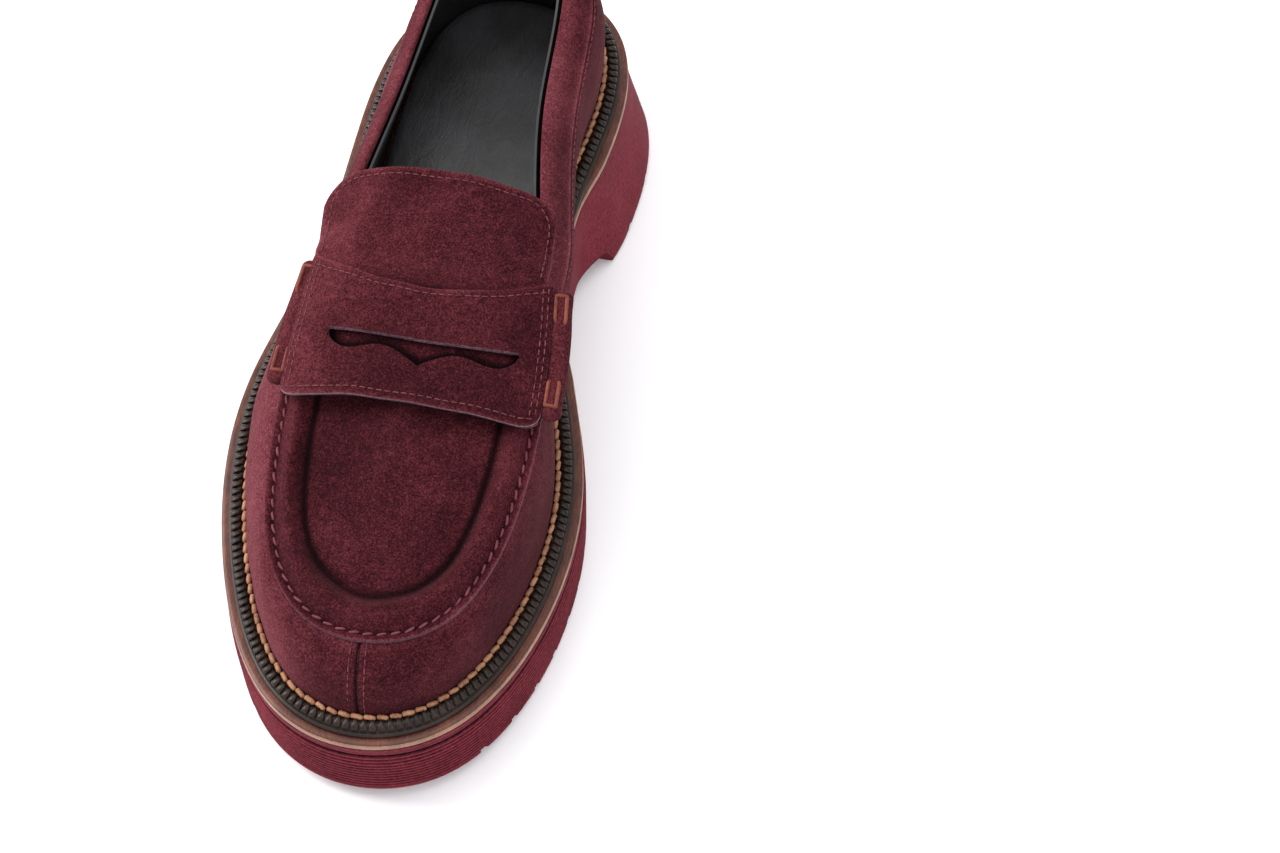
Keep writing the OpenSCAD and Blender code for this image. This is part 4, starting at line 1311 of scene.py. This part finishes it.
def buildStitching():
    size = stitchSizes
    rows = {}
    thick = stitchShape("seamStitch", size["seamPitch"] * 0.8, size["seamRadius"], 0.55, 1.3)
    fine = stitchShape("fineStitch", size["finePitch"] * 0.74, size["fineRadius"], 0.22, 1.0)

    t = np.linspace(-3.35, 3.35, 420)
    seam = apronFace(t, 0 * t)[0]
    sample = 0.2
    inner, away = apronFace(t, 0 * t + sample)
    line = apronFace(t, sample * size["seamInset"] / away)[0] + upAxis * (shoe["suede"] + 0.1)
    lean = unit(np.cross(np.gradient(line, axis=0), inner - seam))
    lean = np.where(lean[:, 2:3] < 0, -lean, lean)
    rows["apron_stitching"] = addRow("apronSeamStitches", [(line, lean, False)], thick, size["seamPitch"],
                                     "seamThread", slant=11, unevenness=0.09, seed=2)

    h = np.linspace(0.06, 0.95, 60)
    lines = []
    for side in (-1, 1):
        t = np.full(60, side * size["toeRows"])
        lines.append((wallAt(t, h, 0 * t - stitchLift), wallNormal(t, h), False))
    rows["toe_seam_stitching"] = addRow("toeSeamStitches", lines, fine, size["finePitch"], "seamThread",
                                        seed=3)

    lines = []
    u = np.linspace(-0.93, 0.93, 160)
    inset = size["seamInset"] / strapSizes["width"]
    for v in (inset, 1 - inset * 1.1):
        v = v + 0 * u
        lines.append((strapTop(u, v), faceLean(strapFace, u, v), False))
    v = np.linspace(0.1, 0.95, 80)
    for side in (-1, 1):
        for reach in (0.925, 0.965):
            u = side * reach + 0 * v
            lines.append((strapTop(u, v), faceLean(strapFace, u, v), False))
    rows["saddle_stitching"] = addRow("saddleStitches", lines, fine, size["finePitch"], "fineThread", seed=5)

    lines = [tongueEdgeLine(size["tongueInset"])]
    rows["tongue_stitching"] = addRow("tongueStitches", lines, fine, size["finePitch"], "fineThread", seed=6)

    t = np.linspace(shoe["throat"] + 0.2, turns - shoe["throat"] - 0.2, 500)
    h = np.full(500, quarterTop - 0.018)
    keep = np.abs(t - shoe["heelSeam"]) > backstayHalf + 0.02
    lines = []
    for part in (t < shoe["heelSeam"], t > shoe["heelSeam"]):
        p = keep & part
        lines.append((skinAt(t[p], h[p], 0 * t[p] - stitchLift), wallNormal(t[p], h[p]), False))
    h = np.linspace(0.08, quarterTop - 0.02, 60)
    for side in (-1, 1):
        t = np.full(60, shoe["heelSeam"] + side * (backstayHalf - 0.035))
        lines.append((wallAt(t, h, 0 * t - 1.3), wallNormal(t, h), False))
    rows["collar_stitching"] = addRow("collarStitches", lines, fine, size["finePitch"], "seamThread", seed=8)
    return rows


def strapTop(u, v):
    top = strapFace(u, v)
    return top + upAxis * (strapGrain(top) + stitchLift)[..., None]


# Line at an even distance inside the tongue's free edge
def tongueEdgeLine(inset):
    size = tongueSizes
    half, reach, r = size["width"] / 2 - inset, size["length"] - inset, size["corner"] - inset
    corner = np.linspace(0, math.pi / 2, 24)
    x = np.concatenate([np.full(20, -half), -half + r - r * np.cos(corner),
                        np.linspace(-half + r, half - r, 60)[1:-1],
                        half - r + r * np.sin(corner), np.full(20, half)])
    y = np.concatenate([np.linspace(1.5, reach - r, 20, endpoint=False), reach - r + r * np.sin(corner),
                        np.full(58, reach), reach - r + r * np.cos(corner),
                        np.linspace(reach - r, 1.5, 21)[1:]])
    u = x / (size["width"] / 2)
    corner = np.maximum(0, np.abs(x) - (size["width"] / 2 - size["corner"]))
    cut = size["corner"] - np.sqrt(np.maximum(0, size["corner"] ** 2 - corner ** 2))
    w = y / (size["length"] - cut)
    top = tongueFace(u, w)
    top = top + upAxis * (tongueGrain(top, w) + stitchLift)[..., None]
    return top, faceLean(tongueFace, u, w), False


shoeBody, flapBody = "shoe", "tongue_flap"


def fasten(piece, body, slot, *nodes):
    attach(piece, body)
    if nodes:
        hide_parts(*nodes)


fasten(buildOutsole(), shoeBody, "sole", "outsole")
fasten(buildMidsole(), shoeBody, "midsole", "midsole")
band, teeth, cord = buildWelt()
fasten(band, shoeBody, "welt", "storm_welt")
fasten(teeth, shoeBody, "welt")
fasten(cord, shoeBody, "cord", "welt_cord")
print("sole and welt made")

for node, piece in buildWalls().items():
    fasten(piece, shoeBody, "suede", node)
fasten(buildBackstay(), shoeBody, "suede", "backstay")
half = wallSizes["seamHalf"]
throat = shoe["throat"]
fasten(liningSheet("vampLiningLeather", half - throat, throat - half, 0.95, 200),
       shoeBody, "lining", "vamp_lining")
fasten(liningSheet("quarterLiningLeather", throat + half, turns - throat - half, 0.985, 240, bulge=1.35),
       shoeBody, "lining", "quarter_lining")
collar, collarPad = buildCollar()
fasten(collar, shoeBody, "suede", "topline_collar")
fasten(collarPad, shoeBody, "foam", "collar_foam")
print("walls and collar made")

apron, apronLining = buildApron()
fasten(apron, shoeBody, "suede", "apron")
fasten(apronLining, shoeBody, "lining", "apron_lining")
strap, backing = buildStrap()
fasten(strap, shoeBody, "suede", "saddle_strap")
fasten(backing, shoeBody, "backing", "saddle_backing")
fasten(buildRoll("rollMedialSuede", 1), shoeBody, "suede", "roll_medial")
fasten(buildRoll("rollLateralSuede", -1), shoeBody, "suede", "roll_lateral")
fasten(buildTacks(), shoeBody, "tack", "saddle_tacks")
print("apron and saddle made")

sock, footbed = buildSock()
fasten(sock, shoeBody, "sock", "sock_lining")
fasten(footbed, shoeBody, "foam", "footbed_foam")


# The tongue is held under the strap and bends just behind it; here its mesh is baked in place and its frame
# part hidden
def fastenTongue(piece, node):
    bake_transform(piece)
    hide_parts(node)


tongue, tongueLining = buildTongue()
fastenTongue(tongue, "tongue")
fastenTongue(tongueLining, "tongue_lining")
for node, piece in buildStitching().items():
    if node == "tongue_stitching":
        fastenTongue(piece, node)
    else:
        fasten(piece, shoeBody, "thread", node)
print("tongue, inside and stitching made")

for shape in helpers:
    bpy.data.objects.remove(shape)

carried = {
    "shank": "steel", "bottom_filler": "cork", "insole_rib": "stiffener", "insole_board": "insoleBoard",
    "toe_puff": "stiffener", "heel_counter": "stiffener",
}
for node, finish in carried.items():
    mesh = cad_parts[node].data
    mesh.materials.clear()
    mesh.materials.append(finishes[finish])
print("inner pieces finished")

studio = {
    "floorSize": 6.0, "floorTone": tone(250, 250, 252),
    "turn": 12.705, "height": 57.26, "roll": -1.79,         # the camera's directions, in degrees
    "distance": 1.1776, "lens": 96.35, "aim": (0.0666, -0.0001, 0.0),
    "sky": (0.985, 0.985, 1.0, 1), "skyStrength": 0.95,
    # Square panels: place, side in metres, watts, colour
    "panels": {
        "keyPanel": ((-1.5, 0.2, 1.25), 1.1, 40, (1, 0.985, 0.97)),
        "fillPanel": ((1.2, -0.9, 1.3), 1.4, 8, (1, 1, 1)),
        "topPanel": ((0.1, 0.2, 2.0), 1.6, 16, (1, 1, 1)),
    },
}


def makeFloor():
    half = studio["floorSize"] / 2
    mesh = bpy.data.meshes.new("floor")
    corners = [(-half, -half, 0), (half, -half, 0), (half, half, 0), (-half, half, 0)]
    mesh.from_pydata(corners, [], [(0, 1, 2, 3)])
    newFinish("floorPaint", {"Roughness": 0.7, "Specular IOR Level": 0.2, "Base Color": studio["floorTone"]})
    mesh.materials.append(finishes["floorPaint"])
    link("floor", mesh)


def turnTo(direction):
    return Vector(direction).to_track_quat("-Z", "Y")


def addLamp(name, place, side, power, colour):
    data = bpy.data.lights.new(name, "AREA")
    data.shape, data.size, data.size_y = "RECTANGLE", side, side
    data.energy, data.color = power, colour
    lamp = link(name, data)
    lamp.location = place
    lamp.rotation_euler = turnTo(-np.array(place)).to_euler()


def makeLight():
    scene = bpy.context.scene
    world = bpy.data.worlds.new("studio")
    world.use_nodes = True
    sky = world.node_tree.nodes["Background"].inputs
    sky["Color"].default_value = studio["sky"]
    sky["Strength"].default_value = studio["skyStrength"]
    scene.world = world
    scene.view_settings.view_transform = "Standard"
    scene.view_settings.look = "None"
    for name, panel in studio["panels"].items():
        addLamp(name, *panel)


def makeCamera():
    turn, height = math.radians(studio["turn"]), math.radians(studio["height"])
    back = np.array([math.sin(turn) * math.cos(height), -math.cos(turn) * math.cos(height),
                     math.sin(height)])
    data = bpy.data.cameras.new("camera")
    data.lens, data.sensor_width = studio["lens"], 36
    data.clip_start, data.clip_end = 0.05, 50
    camera = link("camera", data)
    camera.location = np.array(studio["aim"]) + back * studio["distance"]
    camera.rotation_mode = "QUATERNION"
    camera.rotation_quaternion = turnTo(-back) @ Quaternion((0, 0, 1), math.radians(studio["roll"]))
    bpy.context.scene.camera = camera


makeFloor()
makeLight()
makeCamera()
print("studio made")
